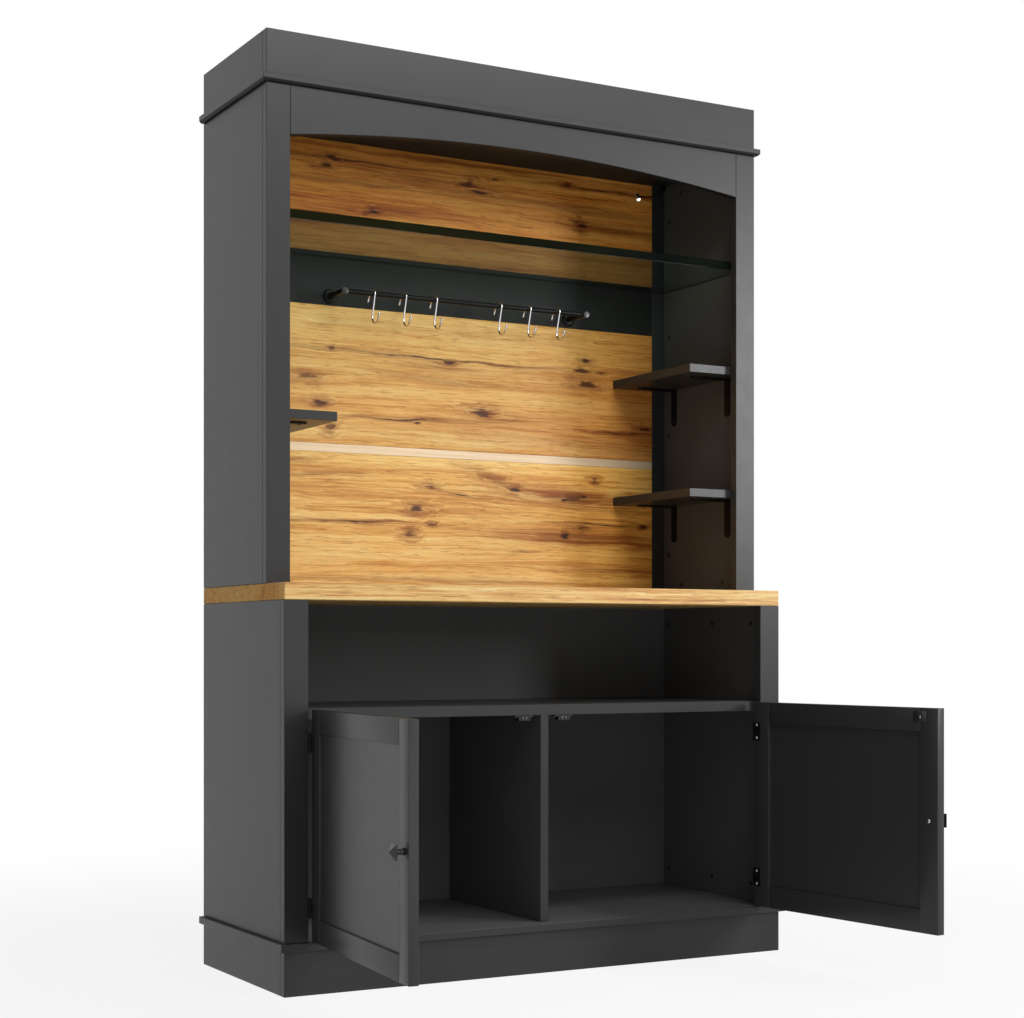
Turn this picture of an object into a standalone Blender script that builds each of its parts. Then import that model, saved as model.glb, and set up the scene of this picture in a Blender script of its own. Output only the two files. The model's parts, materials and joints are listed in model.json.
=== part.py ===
"""Tall kitchen buffet cabinet.

A two-door base with an open niche and an oak worktop carries an open hutch. The hutch has
an arched valance, an oak panelled back, a glass shelf, small shelves on brackets, a rail
with S-hooks and a corner lamp.

Metres, +Z up. The origin is the centre of the base on the floor. The front faces -Y, and
the doors stand open as they are shown.
"""
import math

import bmesh
import bpy
from mathutils import Vector

# Overall sizes
WIDTH = 1.268
HEIGHT = 2.030
BASE_DEPTH = 0.480
HUTCH_DEPTH = 0.382
WORKTOP_HEIGHT = 0.858
PLINTH_HEIGHT = 0.094
FRIEZE_HEIGHT = 0.097

# Boards
SIDE_THICKNESS = 0.016
FRONT_THICKNESS = 0.022
BACK_THICKNESS = 0.014
WORKTOP_THICKNESS = 0.036
MOULDING_THICKNESS = 0.016
MOULDING_OVERHANG = 0.011
MOULDING_CHAMFER = 0.005
STILE_WIDTH = 0.054
DIVIDER_THICKNESS = 0.020
NICHE_SHELF_THICKNESS = 0.0235
NICHE_HEIGHT = 0.2265
BOARD_EDGE = 0.0008
WORKTOP_EDGE = 0.0015

# Clearance between pieces that touch
FIT = 0.0003

# Arched valance
VALANCE_END_HEIGHT = 0.1055
VALANCE_RISE = 0.039
VALANCE_STEPS = 24

# Back of the hutch, from the worktop up and from the ceiling down
BACK_STRIP_WIDTH = 0.038
LOWER_PANEL_HEIGHT = 0.3246
LIGHT_STRIP_HEIGHT = 0.0206
HOOK_BOARD_HEIGHT = 0.143
UPPER_PANEL_HEIGHT = 0.246

# Glass shelf and the grooves in the hutch sides that carry its ends
GLASS_THICKNESS = 0.020
GLASS_DROP = 0.257
GLASS_END_GAP = 0.001
GLASS_EDGE = 0.001
GLASS_GROOVE_DEPTH = 0.005

# Small shelves: heights of their tops above the worktop
SMALL_SHELF_WIDTH = 0.1575
SMALL_SHELF_THICKNESS = 0.020
SMALL_SHELF_SETBACK = 0.001
LEFT_SHELF_HEIGHT = 0.3745
RIGHT_UPPER_SHELF_HEIGHT = 0.5465
RIGHT_LOWER_SHELF_HEIGHT = 0.2475

# Shelf brackets
BRACKET_WIDTH = 0.020
BRACKET_THICKNESS = 0.0035
BRACKET_LEG = 0.092
BRACKET_ARM = 0.112
BRACKET_FRONT_INSET = 0.064
BRACKET_REAR_INSET = 0.048
BRACKET_RIB_WIDTH = 0.006
BRACKET_RIB_DEPTH = 0.0010
BRACKET_RIB_MARGIN = 0.012
BRACKET_END_STEPS = 6

# Hook rail
RAIL_SPAN = 0.654
RAIL_STANDOFF = 0.079
RAIL_RISE = 0.0215
BAR_DIAMETER = 0.012
POST_DIAMETER = 0.0135
POST_LENGTH = 0.090
POST_CAP_DIAMETER = 0.0178
POST_CAP_LENGTH = 0.003
ROSETTE_DIAMETER = 0.034
ROSETTE_THICKNESS = 0.005
ROSETTE_CHAMFER = 0.002

# S-hooks
HOOK_WIRE = 0.0044
HOOK_REAR_RADIUS = 0.031
HOOK_REAR_SWEEP = math.radians(73)
HOOK_SHANK_LENGTH = 0.0475
HOOK_SHANK_LEAN = math.radians(17)
HOOK_LOOP_RADIUS = 0.017
HOOK_TIP_LENGTH = 0.016
HOOK_TIP_LEAN = math.radians(35)
HOOK_FIRST = 0.0875
HOOK_PITCH = 0.0815
HOOKS_PER_SIDE = 3
HOOK_REAR_STEPS = 7
HOOK_BAR_STEPS = 7
HOOK_LOOP_STEPS = 12

# Doors
DOOR_THICKNESS = 0.020
DOOR_STILE = 0.051
DOOR_RAIL = 0.0495
DOOR_PANEL_THICKNESS = 0.008
DOOR_GROOVE = 0.008
DOOR_FOOT_GAP = 0.0025
DOOR_HEAD_GAP = 0.0015
DOOR_MEETING_GAP = 0.003
DOOR_OPENING = math.radians(95.7)

# Butt hinges that wrap round the door edge
HINGE_GAP = 0.0035
HINGE_HEIGHT = 0.042
HINGE_INSET = 0.069
HINGE_LEAF = 0.0012
HINGE_WRAP_WIDTH = 0.022
HINGE_WRAP_THICKNESS = 0.0015
HINGE_SINK = 0.001
KNUCKLE_DIAMETER = 0.0064
PIN_DIAMETER = 0.0032
PIN_CLEARANCE = 0.0004

# Door knobs
KNOB_INSET = 0.025
KNOB_COLLAR_DIAMETER = 0.0135
KNOB_COLLAR_LENGTH = 0.006
KNOB_STEM_DIAMETER = 0.0105
KNOB_STEM_LENGTH = 0.017
KNOB_HEAD_WIDTH = 0.030
KNOB_RIM = 0.0015
KNOB_HEAD_LENGTH = 0.012
KNOB_TIP_WIDTH = 0.002

# Magnetic catches under the niche shelf
CATCH_CLEARANCE = 0.018
CATCH_WIDTH = 0.046
CATCH_BODY_WIDTH = 0.030
CATCH_HEIGHT = 0.012
CATCH_EAR_HEIGHT = 0.003
CATCH_DEPTH = 0.014

# Corner lamp
LAMP_BLOCK = (0.029, 0.045, 0.018)
LAMP_SIDE_GAP = 0.010
LAMP_REAR_GAP = 0.011
LAMP_ARM_DIAMETER = 0.0036
LAMP_ARM_REACH = 0.078
LAMP_ARM_DROP = 0.026
LAMP_HEAD_DIAMETER = 0.012
LAMP_HEAD_LENGTH = 0.018
LAMP_ARM_STEPS = 8

# Facets round turned pieces
BARREL_SEGMENTS = 20
SMALL_SEGMENTS = 16
TUBE_RESOLUTION = 2
MERGE_DISTANCE = 1e-6

# Planes that the pieces share
HALF = WIDTH / 2
FRONT = -BASE_DEPTH / 2
REAR = BASE_DEPTH / 2
HUTCH_FRONT = REAR - HUTCH_DEPTH
INNER = HALF - SIDE_THICKNESS
JAMB = HALF - STILE_WIDTH
BACK_FACE = REAR - BACK_THICKNESS
BASE_INSIDE = FRONT + FRONT_THICKNESS + FIT
HUTCH_INSIDE = HUTCH_FRONT + FRONT_THICKNESS + FIT
BASE_FLOOR = PLINTH_HEIGHT + MOULDING_THICKNESS
WORKTOP_UNDER = WORKTOP_HEIGHT - WORKTOP_THICKNESS
NICHE_FLOOR = WORKTOP_UNDER - NICHE_HEIGHT
CEILING = HEIGHT - FRIEZE_HEIGHT - MOULDING_THICKNESS
HOOK_BOARD_TOP = CEILING - UPPER_PANEL_HEIGHT
HOOK_BOARD_BOTTOM = HOOK_BOARD_TOP - HOOK_BOARD_HEIGHT
LIGHT_STRIP_BOTTOM = WORKTOP_HEIGHT + LOWER_PANEL_HEIGHT
LIGHT_STRIP_TOP = LIGHT_STRIP_BOTTOM + LIGHT_STRIP_HEIGHT
GLASS_TOP = CEILING - GLASS_DROP
GLASS_BOTTOM = GLASS_TOP - GLASS_THICKNESS
SMALL_SHELF_FRONT = HUTCH_INSIDE + SMALL_SHELF_SETBACK
RAIL_Y = BACK_FACE - RAIL_STANDOFF
RAIL_Z = HOOK_BOARD_BOTTOM + RAIL_RISE

# A door, measured from its hinge axis: along the door, and back from the axis
KNUCKLE_STAND = KNUCKLE_DIAMETER / 2 + FIT
HINGE_X = JAMB - HINGE_GAP / 2
HINGE_Y = FRONT - KNUCKLE_STAND
DOOR_START = HINGE_GAP / 2
DOOR_END = HINGE_X - DOOR_MEETING_GAP / 2
DOOR_FACE = KNUCKLE_STAND
DOOR_BACK = DOOR_FACE + DOOR_THICKNESS
DOOR_FOOT = BASE_FLOOR + DOOR_FOOT_GAP
DOOR_HEAD = NICHE_FLOOR - DOOR_HEAD_GAP
HINGE_LEVELS = {"upper": DOOR_HEAD - HINGE_INSET, "lower": DOOR_FOOT + HINGE_INSET}

SIDES = {"left": -1, "right": 1}
X_AXIS = Vector((1, 0, 0))
Y_AXIS = Vector((0, 1, 0))
Z_AXIS = Vector((0, 0, 1))


def principled(name, colour, roughness, metallic=0.0, transmission=0.0):
    """A plain surface: colour, roughness, metal or glass."""
    material = bpy.data.materials.new(name)
    material.use_nodes = True
    shader = material.node_tree.nodes["Principled BSDF"]
    shader.inputs["Base Color"].default_value = (*colour, 1.0)
    shader.inputs["Roughness"].default_value = roughness
    shader.inputs["Metallic"].default_value = metallic
    shader.inputs["Transmission Weight"].default_value = transmission
    return material


def to_object(name, bm, location=(0, 0, 0)):
    """Turn a bmesh into an object, with its faces pointing out."""
    bmesh.ops.recalc_face_normals(bm, faces=bm.faces)
    mesh = bpy.data.meshes.new(name)
    bm.to_mesh(mesh)
    bm.free()
    obj = bpy.data.objects.new(name, mesh)
    obj.location = location
    bpy.context.collection.objects.link(obj)
    return obj


def paint(obj, material):
    """Give an object its one material."""
    obj.data.materials.clear()
    obj.data.materials.append(material)
    return obj


def span(side, near, far):
    """The x range between two distances from the middle, on the left or right."""
    return min(side * near, side * far), max(side * near, side * far)


def box(name, x_range, y_range, z_range):
    """A block between three pairs of planes, with its origin at its centre."""
    low, high = (Vector(corner) for corner in zip(x_range, y_range, z_range))
    bm = bmesh.new()
    bmesh.ops.create_cube(bm, size=1.0)
    bmesh.ops.scale(bm, vec=high - low, verts=bm.verts)
    return to_object(name, bm, (low + high) / 2)


def ease_edges(obj, width):
    """Take the sharp edges off a board."""
    bevel = obj.modifiers.new("eased edges", "BEVEL")
    bevel.width = width
    bevel.segments = 1
    return obj


def board(name, x_range, y_range, z_range, material, edge=BOARD_EDGE):
    """A board with eased edges."""
    return paint(ease_edges(box(name, x_range, y_range, z_range), edge), material)


def combine(target, tool, operation="UNION"):
    """Join a tool to a target, or cut it away, and keep only the target."""
    boolean = target.modifiers.new("joined", "BOOLEAN")
    boolean.operation = operation
    boolean.object = tool
    shaped = target.evaluated_get(bpy.context.evaluated_depsgraph_get())
    target.data = bpy.data.meshes.new_from_object(shaped)
    target.modifiers.clear()
    bpy.data.objects.remove(tool)
    return target


def smooth(obj):
    """Shade the round faces smooth and keep the hard edges."""
    obj.data.shade_smooth()
    obj.data.set_sharp_from_angle(angle=math.radians(35))
    return obj


def turned(name, profile, axis, location, segments=SMALL_SEGMENTS):
    """A body turned round an axis; the profile gives (distance along it, radius)."""
    bm = bmesh.new()
    points = [bm.verts.new((radius, 0, along)) for along, radius in profile]
    edges = [bm.edges.new(pair) for pair in zip(points, points[1:])]
    bmesh.ops.spin(bm, geom=points + edges, cent=(0, 0, 0), axis=Z_AXIS, angle=math.tau, steps=segments)
    bmesh.ops.remove_doubles(bm, verts=bm.verts, dist=MERGE_DISTANCE)
    bm.transform(Z_AXIS.rotation_difference(Vector(axis)).to_matrix().to_4x4())
    return to_object(name, bm, location)


def cylinder(name, radius, length, axis, location, segments=SMALL_SEGMENTS):
    """A plain round bar that starts at a point and runs along an axis."""
    profile = [(0, 0), (0, radius), (length, radius), (length, 0)]
    return turned(name, profile, axis, location, segments)


def plate(name, outline, along, across, thickness, location):
    """A flat outline in the plane of two axes, thickened along their cross product."""
    bm = bmesh.new()
    face = bm.faces.new([bm.verts.new(along * u + across * v) for u, v in outline])
    copied = bmesh.ops.extrude_face_region(bm, geom=[face])["geom"]
    moved = [item for item in copied if isinstance(item, bmesh.types.BMVert)]
    bmesh.ops.translate(bm, verts=moved, vec=along.cross(across) * thickness)
    return to_object(name, bm, location)


def tube(name, points, radius, location=(0, 0, 0)):
    """A round wire along a line of points, with closed ends."""
    curve = bpy.data.curves.new(name, "CURVE")
    curve.dimensions = "3D"
    curve.bevel_depth = radius
    curve.bevel_resolution = TUBE_RESOLUTION
    curve.use_fill_caps = True
    spline = curve.splines.new("POLY")
    spline.points.add(len(points) - 1)
    for point, place in zip(spline.points, points):
        point.co = (*place, 1.0)
    guide = bpy.data.objects.new(name + " guide", curve)
    bpy.context.collection.objects.link(guide)
    shaped = guide.evaluated_get(bpy.context.evaluated_depsgraph_get())
    wire = bpy.data.objects.new(name, bpy.data.meshes.new_from_object(shaped))
    bpy.data.objects.remove(guide)
    wire.location = location
    bpy.context.collection.objects.link(wire)
    return wire


def build_plinth(paints):
    """The base frame on the floor: front, sides, rear and a rail under the divider."""
    levels = (0, PLINTH_HEIGHT - FIT)
    behind_front = FRONT + FRONT_THICKNESS + FIT
    board("plinth_front", (-HALF, HALF), (FRONT, FRONT + FRONT_THICKNESS), levels, paints["paint"])
    for word, side in SIDES.items():
        board(f"plinth_{word}", span(side, INNER, HALF), (behind_front, REAR), levels, paints["paint"])
    between = (-INNER + FIT, INNER - FIT)
    board("plinth_rear", between, (REAR - SIDE_THICKNESS, REAR), levels, paints["paint"])
    middle = (-SIDE_THICKNESS / 2, SIDE_THICKNESS / 2)
    run = (behind_front, REAR - SIDE_THICKNESS - FIT)
    board("plinth_centre_rail", middle, run, levels, paints["paint"])


def build_base(paints):
    """The carcass of the base: bottom, sides, back, niche shelf, divider and worktop."""
    wide = (-HALF - MOULDING_OVERHANG, HALF + MOULDING_OVERHANG)
    between = (-INNER + FIT, INNER - FIT)
    levels = (BASE_FLOOR + FIT, WORKTOP_UNDER - FIT)
    deep = (BASE_INSIDE, BACK_FACE - FIT)
    board("base_bottom", wide, (FRONT - MOULDING_OVERHANG, REAR), (PLINTH_HEIGHT, BASE_FLOOR), paints["paint"])
    for word, side in SIDES.items():
        board(f"base_{word}_side", span(side, INNER, HALF), (BASE_INSIDE, REAR), levels, paints["paint"])
    board("base_back", between, (BACK_FACE, REAR), levels, paints["paint"])
    shelf_under = NICHE_FLOOR - NICHE_SHELF_THICKNESS
    board("niche_shelf", between, deep, (shelf_under, NICHE_FLOOR), paints["paint"])
    middle = (-DIVIDER_THICKNESS / 2, DIVIDER_THICKNESS / 2)
    board("base_divider", middle, deep, (BASE_FLOOR + FIT, shelf_under - FIT), paints["paint"])
    slab = (WORKTOP_UNDER, WORKTOP_HEIGHT)
    board("worktop", (-HALF, HALF), (FRONT, REAR), slab, paints["oak"], WORKTOP_EDGE)


def add_frame_hinge(pilaster, side, level):
    """Join the fixed half of a hinge to a pilaster: leaf, two outer knuckles and the pin."""
    half, third = HINGE_HEIGHT / 2, HINGE_HEIGHT / 6
    knuckle, pin = KNUCKLE_DIAMETER / 2, PIN_DIAMETER / 2
    profile = [
        (-half, 0), (-half, knuckle), (-third, knuckle), (-third, pin),
        (third, pin), (third, knuckle), (half, knuckle), (half, 0),
    ]
    axis_point = (side * HINGE_X, HINGE_Y, level)
    combine(pilaster, turned("barrel", profile, Z_AXIS, axis_point))
    leaf_x = span(side, JAMB - HINGE_LEAF, JAMB + HINGE_SINK)
    leaf_y = (FRONT + HINGE_SINK, FRONT + DOOR_THICKNESS)
    combine(pilaster, box("leaf", leaf_x, leaf_y, (level - half, level + half)))
    web_x = span(side, JAMB - HINGE_LEAF, JAMB)
    web_y = (HINGE_Y, FRONT + 2 * HINGE_SINK)
    for bottom, top in ((-half, -third), (third, half)):
        combine(pilaster, box("web", web_x, web_y, (level + bottom, level + top)))


def build_pilasters(paints):
    """The two uprights of the base front, each with the fixed halves of two hinges."""
    levels = (BASE_FLOOR + FIT, WORKTOP_UNDER - FIT)
    for word, side in SIDES.items():
        upright = (FRONT, FRONT + FRONT_THICKNESS)
        pilaster = board(f"base_{word}_pilaster", span(side, JAMB, HALF), upright, levels, paints["paint"])
        for level in HINGE_LEVELS.values():
            add_frame_hinge(pilaster, side, level)
        paint(smooth(pilaster), paints["paint"])


def build_hutch(paints):
    """The hutch carcass: sides grooved for the glass shelf, stiles, top moulding and frieze."""
    levels = (WORKTOP_HEIGHT + FIT, CEILING - FIT)
    front = (HUTCH_FRONT, HUTCH_FRONT + FRONT_THICKNESS)
    crown = (CEILING + MOULDING_THICKNESS + FIT, HEIGHT)
    for word, side in SIDES.items():
        edge = span(side, INNER, HALF)
        panel = board(f"hutch_{word}_side", edge, (HUTCH_INSIDE, REAR), levels, paints["paint"])
        paint(groove_for_glass(panel, side), paints["paint"])
        board(f"hutch_{word}_stile", span(side, JAMB, HALF), front, levels, paints["paint"])
        board(f"frieze_{word}", edge, (HUTCH_INSIDE, REAR), crown, paints["paint"])
    wide = (-HALF - MOULDING_OVERHANG, HALF + MOULDING_OVERHANG)
    deep = (HUTCH_FRONT - MOULDING_OVERHANG, REAR)
    top = box("hutch_top", wide, deep, (CEILING, CEILING + MOULDING_THICKNESS))
    chamfer_under(top, MOULDING_CHAMFER)
    paint(ease_edges(top, BOARD_EDGE), paints["paint"])
    board("frieze_front", (-HALF, HALF), front, crown, paints["paint"])


def chamfer_under(obj, width):
    """Slope the lower edge of a board inwards at its front and at both ends."""
    bm = bmesh.new()
    bm.from_mesh(obj.data)
    ends = max(vertex.co.x for vertex in bm.verts)
    front = min(vertex.co.y for vertex in bm.verts)
    edges = []
    for edge in bm.edges:
        middle = (edge.verts[0].co + edge.verts[1].co) / 2
        at_edge = abs(middle.x) > ends - MERGE_DISTANCE or middle.y < front + MERGE_DISTANCE
        if middle.z < 0 and at_edge and abs(edge.verts[0].co.z - edge.verts[1].co.z) < MERGE_DISTANCE:
            edges.append(edge)
    bmesh.ops.bevel(bm, geom=edges, offset=width, segments=1, affect="EDGES")
    bm.to_mesh(obj.data)
    bm.free()


def groove_for_glass(panel, side):
    """Cut the groove that takes one end of the glass shelf into the inner face of a side panel."""
    across = span(side, INNER - FIT, INNER + GLASS_GROOVE_DEPTH)
    run = (HUTCH_INSIDE - FIT, BACK_FACE)
    levels = (GLASS_BOTTOM - FIT, GLASS_TOP + FIT)
    return combine(panel, box("groove", across, run, levels), "DIFFERENCE")


def build_valance(paints):
    """The front board over the bay, its lower edge a shallow arch."""
    reach = JAMB - FIT
    radius = (JAMB ** 2 + VALANCE_RISE ** 2) / (2 * VALANCE_RISE)
    crown = CEILING - VALANCE_END_HEIGHT + VALANCE_RISE
    outline = [(reach, CEILING - FIT), (-reach, CEILING - FIT)]
    for step in range(VALANCE_STEPS + 1):
        x = -reach + 2 * reach * step / VALANCE_STEPS
        outline.append((x, crown - radius + math.sqrt(radius ** 2 - x ** 2)))
    place = (0, HUTCH_FRONT + FRONT_THICKNESS, 0)
    valance = plate("arched_valance", outline, X_AXIS, Z_AXIS, FRONT_THICKNESS, place)
    paint(ease_edges(valance, BOARD_EDGE), paints["paint"])


def build_back(paints):
    """The hutch back: two upright strips and five panels flush between them."""
    depth = (BACK_FACE, REAR)
    strip_edge = INNER - BACK_STRIP_WIDTH
    full = (WORKTOP_HEIGHT + FIT, CEILING - FIT)
    for word, side in SIDES.items():
        board(f"back_{word}_strip", span(side, strip_edge, INNER - FIT), depth, full, paints["paint"])
    across = (-strip_edge + FIT, strip_edge - FIT)
    panels = [
        ("back_lower_panel", WORKTOP_HEIGHT, LIGHT_STRIP_BOTTOM, "oak"),
        ("back_light_strip", LIGHT_STRIP_BOTTOM, LIGHT_STRIP_TOP, "pale"),
        ("back_middle_panel", LIGHT_STRIP_TOP, HOOK_BOARD_BOTTOM, "oak"),
        ("back_hook_board", HOOK_BOARD_BOTTOM, HOOK_BOARD_TOP, "paint"),
        ("back_upper_panel", HOOK_BOARD_TOP, CEILING, "oak"),
    ]
    for name, bottom, top, finish in panels:
        board(name, across, depth, (bottom + FIT / 2, top - FIT / 2), paints[finish])


def build_glass_shelf(paints):
    """The glass shelf, its ends in the grooves of the hutch sides."""
    reach = INNER + GLASS_GROOVE_DEPTH - GLASS_END_GAP
    depth = (SMALL_SHELF_FRONT, BACK_FACE - FIT)
    levels = (GLASS_BOTTOM, GLASS_TOP)
    board("glass_shelf", (-reach, reach), depth, levels, paints["glass"], GLASS_EDGE)


def strap(length):
    """The outline of a strap from its square end to its round end."""
    radius = BRACKET_WIDTH / 2
    outline = [(0, radius), (0, -radius)]
    for step in range(BRACKET_END_STEPS + 1):
        angle = math.pi * (step / BRACKET_END_STEPS - 0.5)
        outline.append((length - radius + radius * math.cos(angle), radius * math.sin(angle)))
    return outline


def build_bracket(name, side, shelf_under, depth, paints):
    """An L bracket: a leg down the side panel, an arm under the shelf, ribs pressed in."""
    wall = side * (INNER - FIT)
    corner = Vector((wall, depth, shelf_under - FIT))
    leg = plate(name, strap(BRACKET_LEG), -Z_AXIS, side * Y_AXIS, BRACKET_THICKNESS, corner)
    leg.location.x -= side * BRACKET_THICKNESS
    arm = plate("arm", strap(BRACKET_ARM), -side * X_AXIS, -side * Y_AXIS, BRACKET_THICKNESS, corner)
    arm.location.z -= BRACKET_THICKNESS
    combine(leg, arm)
    rib_y = (depth - BRACKET_RIB_WIDTH / 2, depth + BRACKET_RIB_WIDTH / 2)
    face = INNER - FIT - BRACKET_THICKNESS
    skin = corner.z - BRACKET_THICKNESS
    leg_x = span(side, face - BRACKET_RIB_DEPTH, face + BRACKET_RIB_DEPTH)
    leg_z = (corner.z - BRACKET_LEG + BRACKET_RIB_MARGIN, skin - BRACKET_RIB_MARGIN)
    combine(leg, box("leg rib", leg_x, rib_y, leg_z), "DIFFERENCE")
    arm_end = INNER - FIT - BRACKET_ARM + BRACKET_RIB_MARGIN
    arm_x = span(side, arm_end, face - BRACKET_RIB_MARGIN)
    arm_z = (skin - BRACKET_RIB_DEPTH, skin + BRACKET_RIB_DEPTH)
    combine(leg, box("arm rib", arm_x, rib_y, arm_z), "DIFFERENCE")
    paint(leg, paints["metal"])


def build_small_shelves(paints):
    """The three short shelves, each on a front and a rear bracket."""
    shelves = [
        ("left", "left", LEFT_SHELF_HEIGHT),
        ("right_upper", "right", RIGHT_UPPER_SHELF_HEIGHT),
        ("right_lower", "right", RIGHT_LOWER_SHELF_HEIGHT),
    ]
    places = {
        "front": SMALL_SHELF_FRONT + BRACKET_FRONT_INSET,
        "rear": BACK_FACE - BRACKET_REAR_INSET,
    }
    for name, word, height in shelves:
        side = SIDES[word]
        top = WORKTOP_HEIGHT + height
        under = top - SMALL_SHELF_THICKNESS
        reach = span(side, INNER - SMALL_SHELF_WIDTH, INNER - FIT)
        depth = (SMALL_SHELF_FRONT, BACK_FACE - FIT)
        board(f"{name}_shelf", reach, depth, (under, top), paints["paint"])
        for place, y in places.items():
            build_bracket(f"{name}_{place}_bracket", side, under, y, paints)


def build_rail(paints):
    """The hook rail: a bar between two posts with rosettes on the hook board."""
    rosette, post, cap = ROSETTE_DIAMETER / 2, POST_DIAMETER / 2, POST_CAP_DIAMETER / 2
    profile = [
        (0, 0), (0, rosette), (ROSETTE_THICKNESS - ROSETTE_CHAMFER, rosette),
        (ROSETTE_THICKNESS, rosette - ROSETTE_CHAMFER), (ROSETTE_THICKNESS, post),
        (POST_LENGTH - POST_CAP_LENGTH, post), (POST_LENGTH - POST_CAP_LENGTH, cap),
        (POST_LENGTH, cap), (POST_LENGTH, 0),
    ]
    start = (-RAIL_SPAN / 2, RAIL_Y, RAIL_Z)
    rail = cylinder("hook_rail", BAR_DIAMETER / 2, RAIL_SPAN, X_AXIS, start, BARREL_SEGMENTS)
    for side in SIDES.values():
        foot = (side * RAIL_SPAN / 2, BACK_FACE - FIT, RAIL_Z)
        combine(rail, turned("post", profile, -Y_AXIS, foot, BARREL_SEGMENTS))
    paint(smooth(rail), paints["metal"])


def hook_points():
    """The line of an S-hook: its rear arc, round the bar, the shank, the loop and the tip."""
    round_bar = (BAR_DIAMETER + HOOK_WIRE) / 2 + FIT
    points = []
    for step in range(HOOK_REAR_STEPS):
        angle = HOOK_REAR_SWEEP * (1 - step / HOOK_REAR_STEPS)
        sagging = HOOK_REAR_RADIUS * (math.cos(angle) - 1)
        points.append((0, HOOK_REAR_RADIUS * math.sin(angle), round_bar + sagging))
    for step in range(HOOK_BAR_STEPS + 1):
        angle = (math.pi / 2 + HOOK_SHANK_LEAN) * step / HOOK_BAR_STEPS
        points.append((0, -round_bar * math.sin(angle), round_bar * math.cos(angle)))
    lean = Vector((0, math.cos(HOOK_SHANK_LEAN), math.sin(HOOK_SHANK_LEAN)))
    down = Vector((0, math.sin(HOOK_SHANK_LEAN), -math.cos(HOOK_SHANK_LEAN)))
    centre = Vector(points[-1]) + down * HOOK_SHANK_LENGTH - lean * HOOK_LOOP_RADIUS
    sweep = math.pi + HOOK_SHANK_LEAN - HOOK_TIP_LEAN
    for step in range(HOOK_LOOP_STEPS + 1):
        angle = HOOK_SHANK_LEAN - sweep * step / HOOK_LOOP_STEPS
        points.append(centre + HOOK_LOOP_RADIUS * Vector((0, math.cos(angle), math.sin(angle))))
    tip = Vector((0, -math.sin(HOOK_TIP_LEAN), math.cos(HOOK_TIP_LEAN)))
    points.append(points[-1] + tip * HOOK_TIP_LENGTH)
    return points


def build_hooks(paints):
    """Six loose S-hooks, each with its origin on the axis of the bar."""
    offsets = [HOOK_FIRST + HOOK_PITCH * place for place in range(HOOKS_PER_SIDE)]
    places = sorted([-offset for offset in offsets] + offsets)
    for number, x in enumerate(places, start=1):
        hook = tube(f"s_hook_{number}", hook_points(), HOOK_WIRE / 2, (x, RAIL_Y, RAIL_Z))
        paint(smooth(hook), paints["chrome"])


def along_door(side, near, far):
    """The x range between two distances from the hinge axis along a closed door."""
    return span(-side, near, far)


def build_door_frame(word, side, paints):
    """Stiles and rails as one frame, with a groove inside for the panel."""
    levels = (DOOR_FOOT, DOOR_HEAD)
    thick = (DOOR_FACE, DOOR_BACK)
    frame = box(f"{word}_door_frame", along_door(side, DOOR_START, DOOR_END), thick, levels)
    window_x = along_door(side, DOOR_START + DOOR_STILE, DOOR_END - DOOR_STILE)
    window_z = (DOOR_FOOT + DOOR_RAIL, DOOR_HEAD - DOOR_RAIL)
    through = (DOOR_FACE - DOOR_THICKNESS, DOOR_BACK + DOOR_THICKNESS)
    combine(frame, box("window", window_x, through, window_z), "DIFFERENCE")
    ease_edges(frame, BOARD_EDGE)
    middle = (DOOR_FACE + DOOR_BACK) / 2
    slot = DOOR_PANEL_THICKNESS / 2 + FIT
    groove_x = (window_x[0] - DOOR_GROOVE, window_x[1] + DOOR_GROOVE)
    groove_z = (window_z[0] - DOOR_GROOVE, window_z[1] + DOOR_GROOVE)
    combine(frame, box("groove", groove_x, (middle - slot, middle + slot), groove_z), "DIFFERENCE")
    panel = board(
        f"{word}_door_panel",
        (groove_x[0] + FIT, groove_x[1] - FIT),
        (middle - DOOR_PANEL_THICKNESS / 2, middle + DOOR_PANEL_THICKNESS / 2),
        (groove_z[0] + FIT, groove_z[1] - FIT),
        paints["paint"],
    )
    return [paint(frame, paints["paint"]), panel]


def build_knob(word, side, paints):
    """A turned stem with a square pyramid head, in the middle of the door's free stile."""
    x = -side * (DOOR_END - KNOB_INSET)
    foot = Vector((x, DOOR_FACE - FIT, (DOOR_FOOT + DOOR_HEAD) / 2))
    collar, stem = KNOB_COLLAR_DIAMETER / 2, KNOB_STEM_DIAMETER / 2
    profile = [
        (0, 0), (0, collar), (KNOB_COLLAR_LENGTH - KNOB_RIM, collar), (KNOB_COLLAR_LENGTH, stem),
        (KNOB_STEM_LENGTH + KNOB_RIM / 2, stem), (KNOB_STEM_LENGTH + KNOB_RIM / 2, 0),
    ]
    knob = turned(f"{word}_knob", profile, -Y_AXIS, foot)
    bm = bmesh.new()
    bmesh.ops.create_cube(bm, size=1.0)
    bmesh.ops.scale(bm, vec=(KNOB_HEAD_WIDTH, KNOB_RIM, KNOB_HEAD_WIDTH), verts=bm.verts)
    face = min(bm.faces, key=lambda item: item.calc_center_median().y)
    tip = bmesh.ops.extrude_discrete_faces(bm, faces=[face])["faces"][0]
    shrink = KNOB_TIP_WIDTH / KNOB_HEAD_WIDTH
    bmesh.ops.scale(bm, vec=(shrink, 1, shrink), verts=tip.verts)
    bmesh.ops.translate(bm, vec=-Y_AXIS * (KNOB_HEAD_LENGTH - KNOB_RIM), verts=tip.verts)
    head_at = foot - Y_AXIS * (KNOB_STEM_LENGTH + KNOB_RIM / 2)
    combine(knob, to_object("head", bm, head_at))
    return paint(smooth(knob), paints["metal"])


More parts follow.
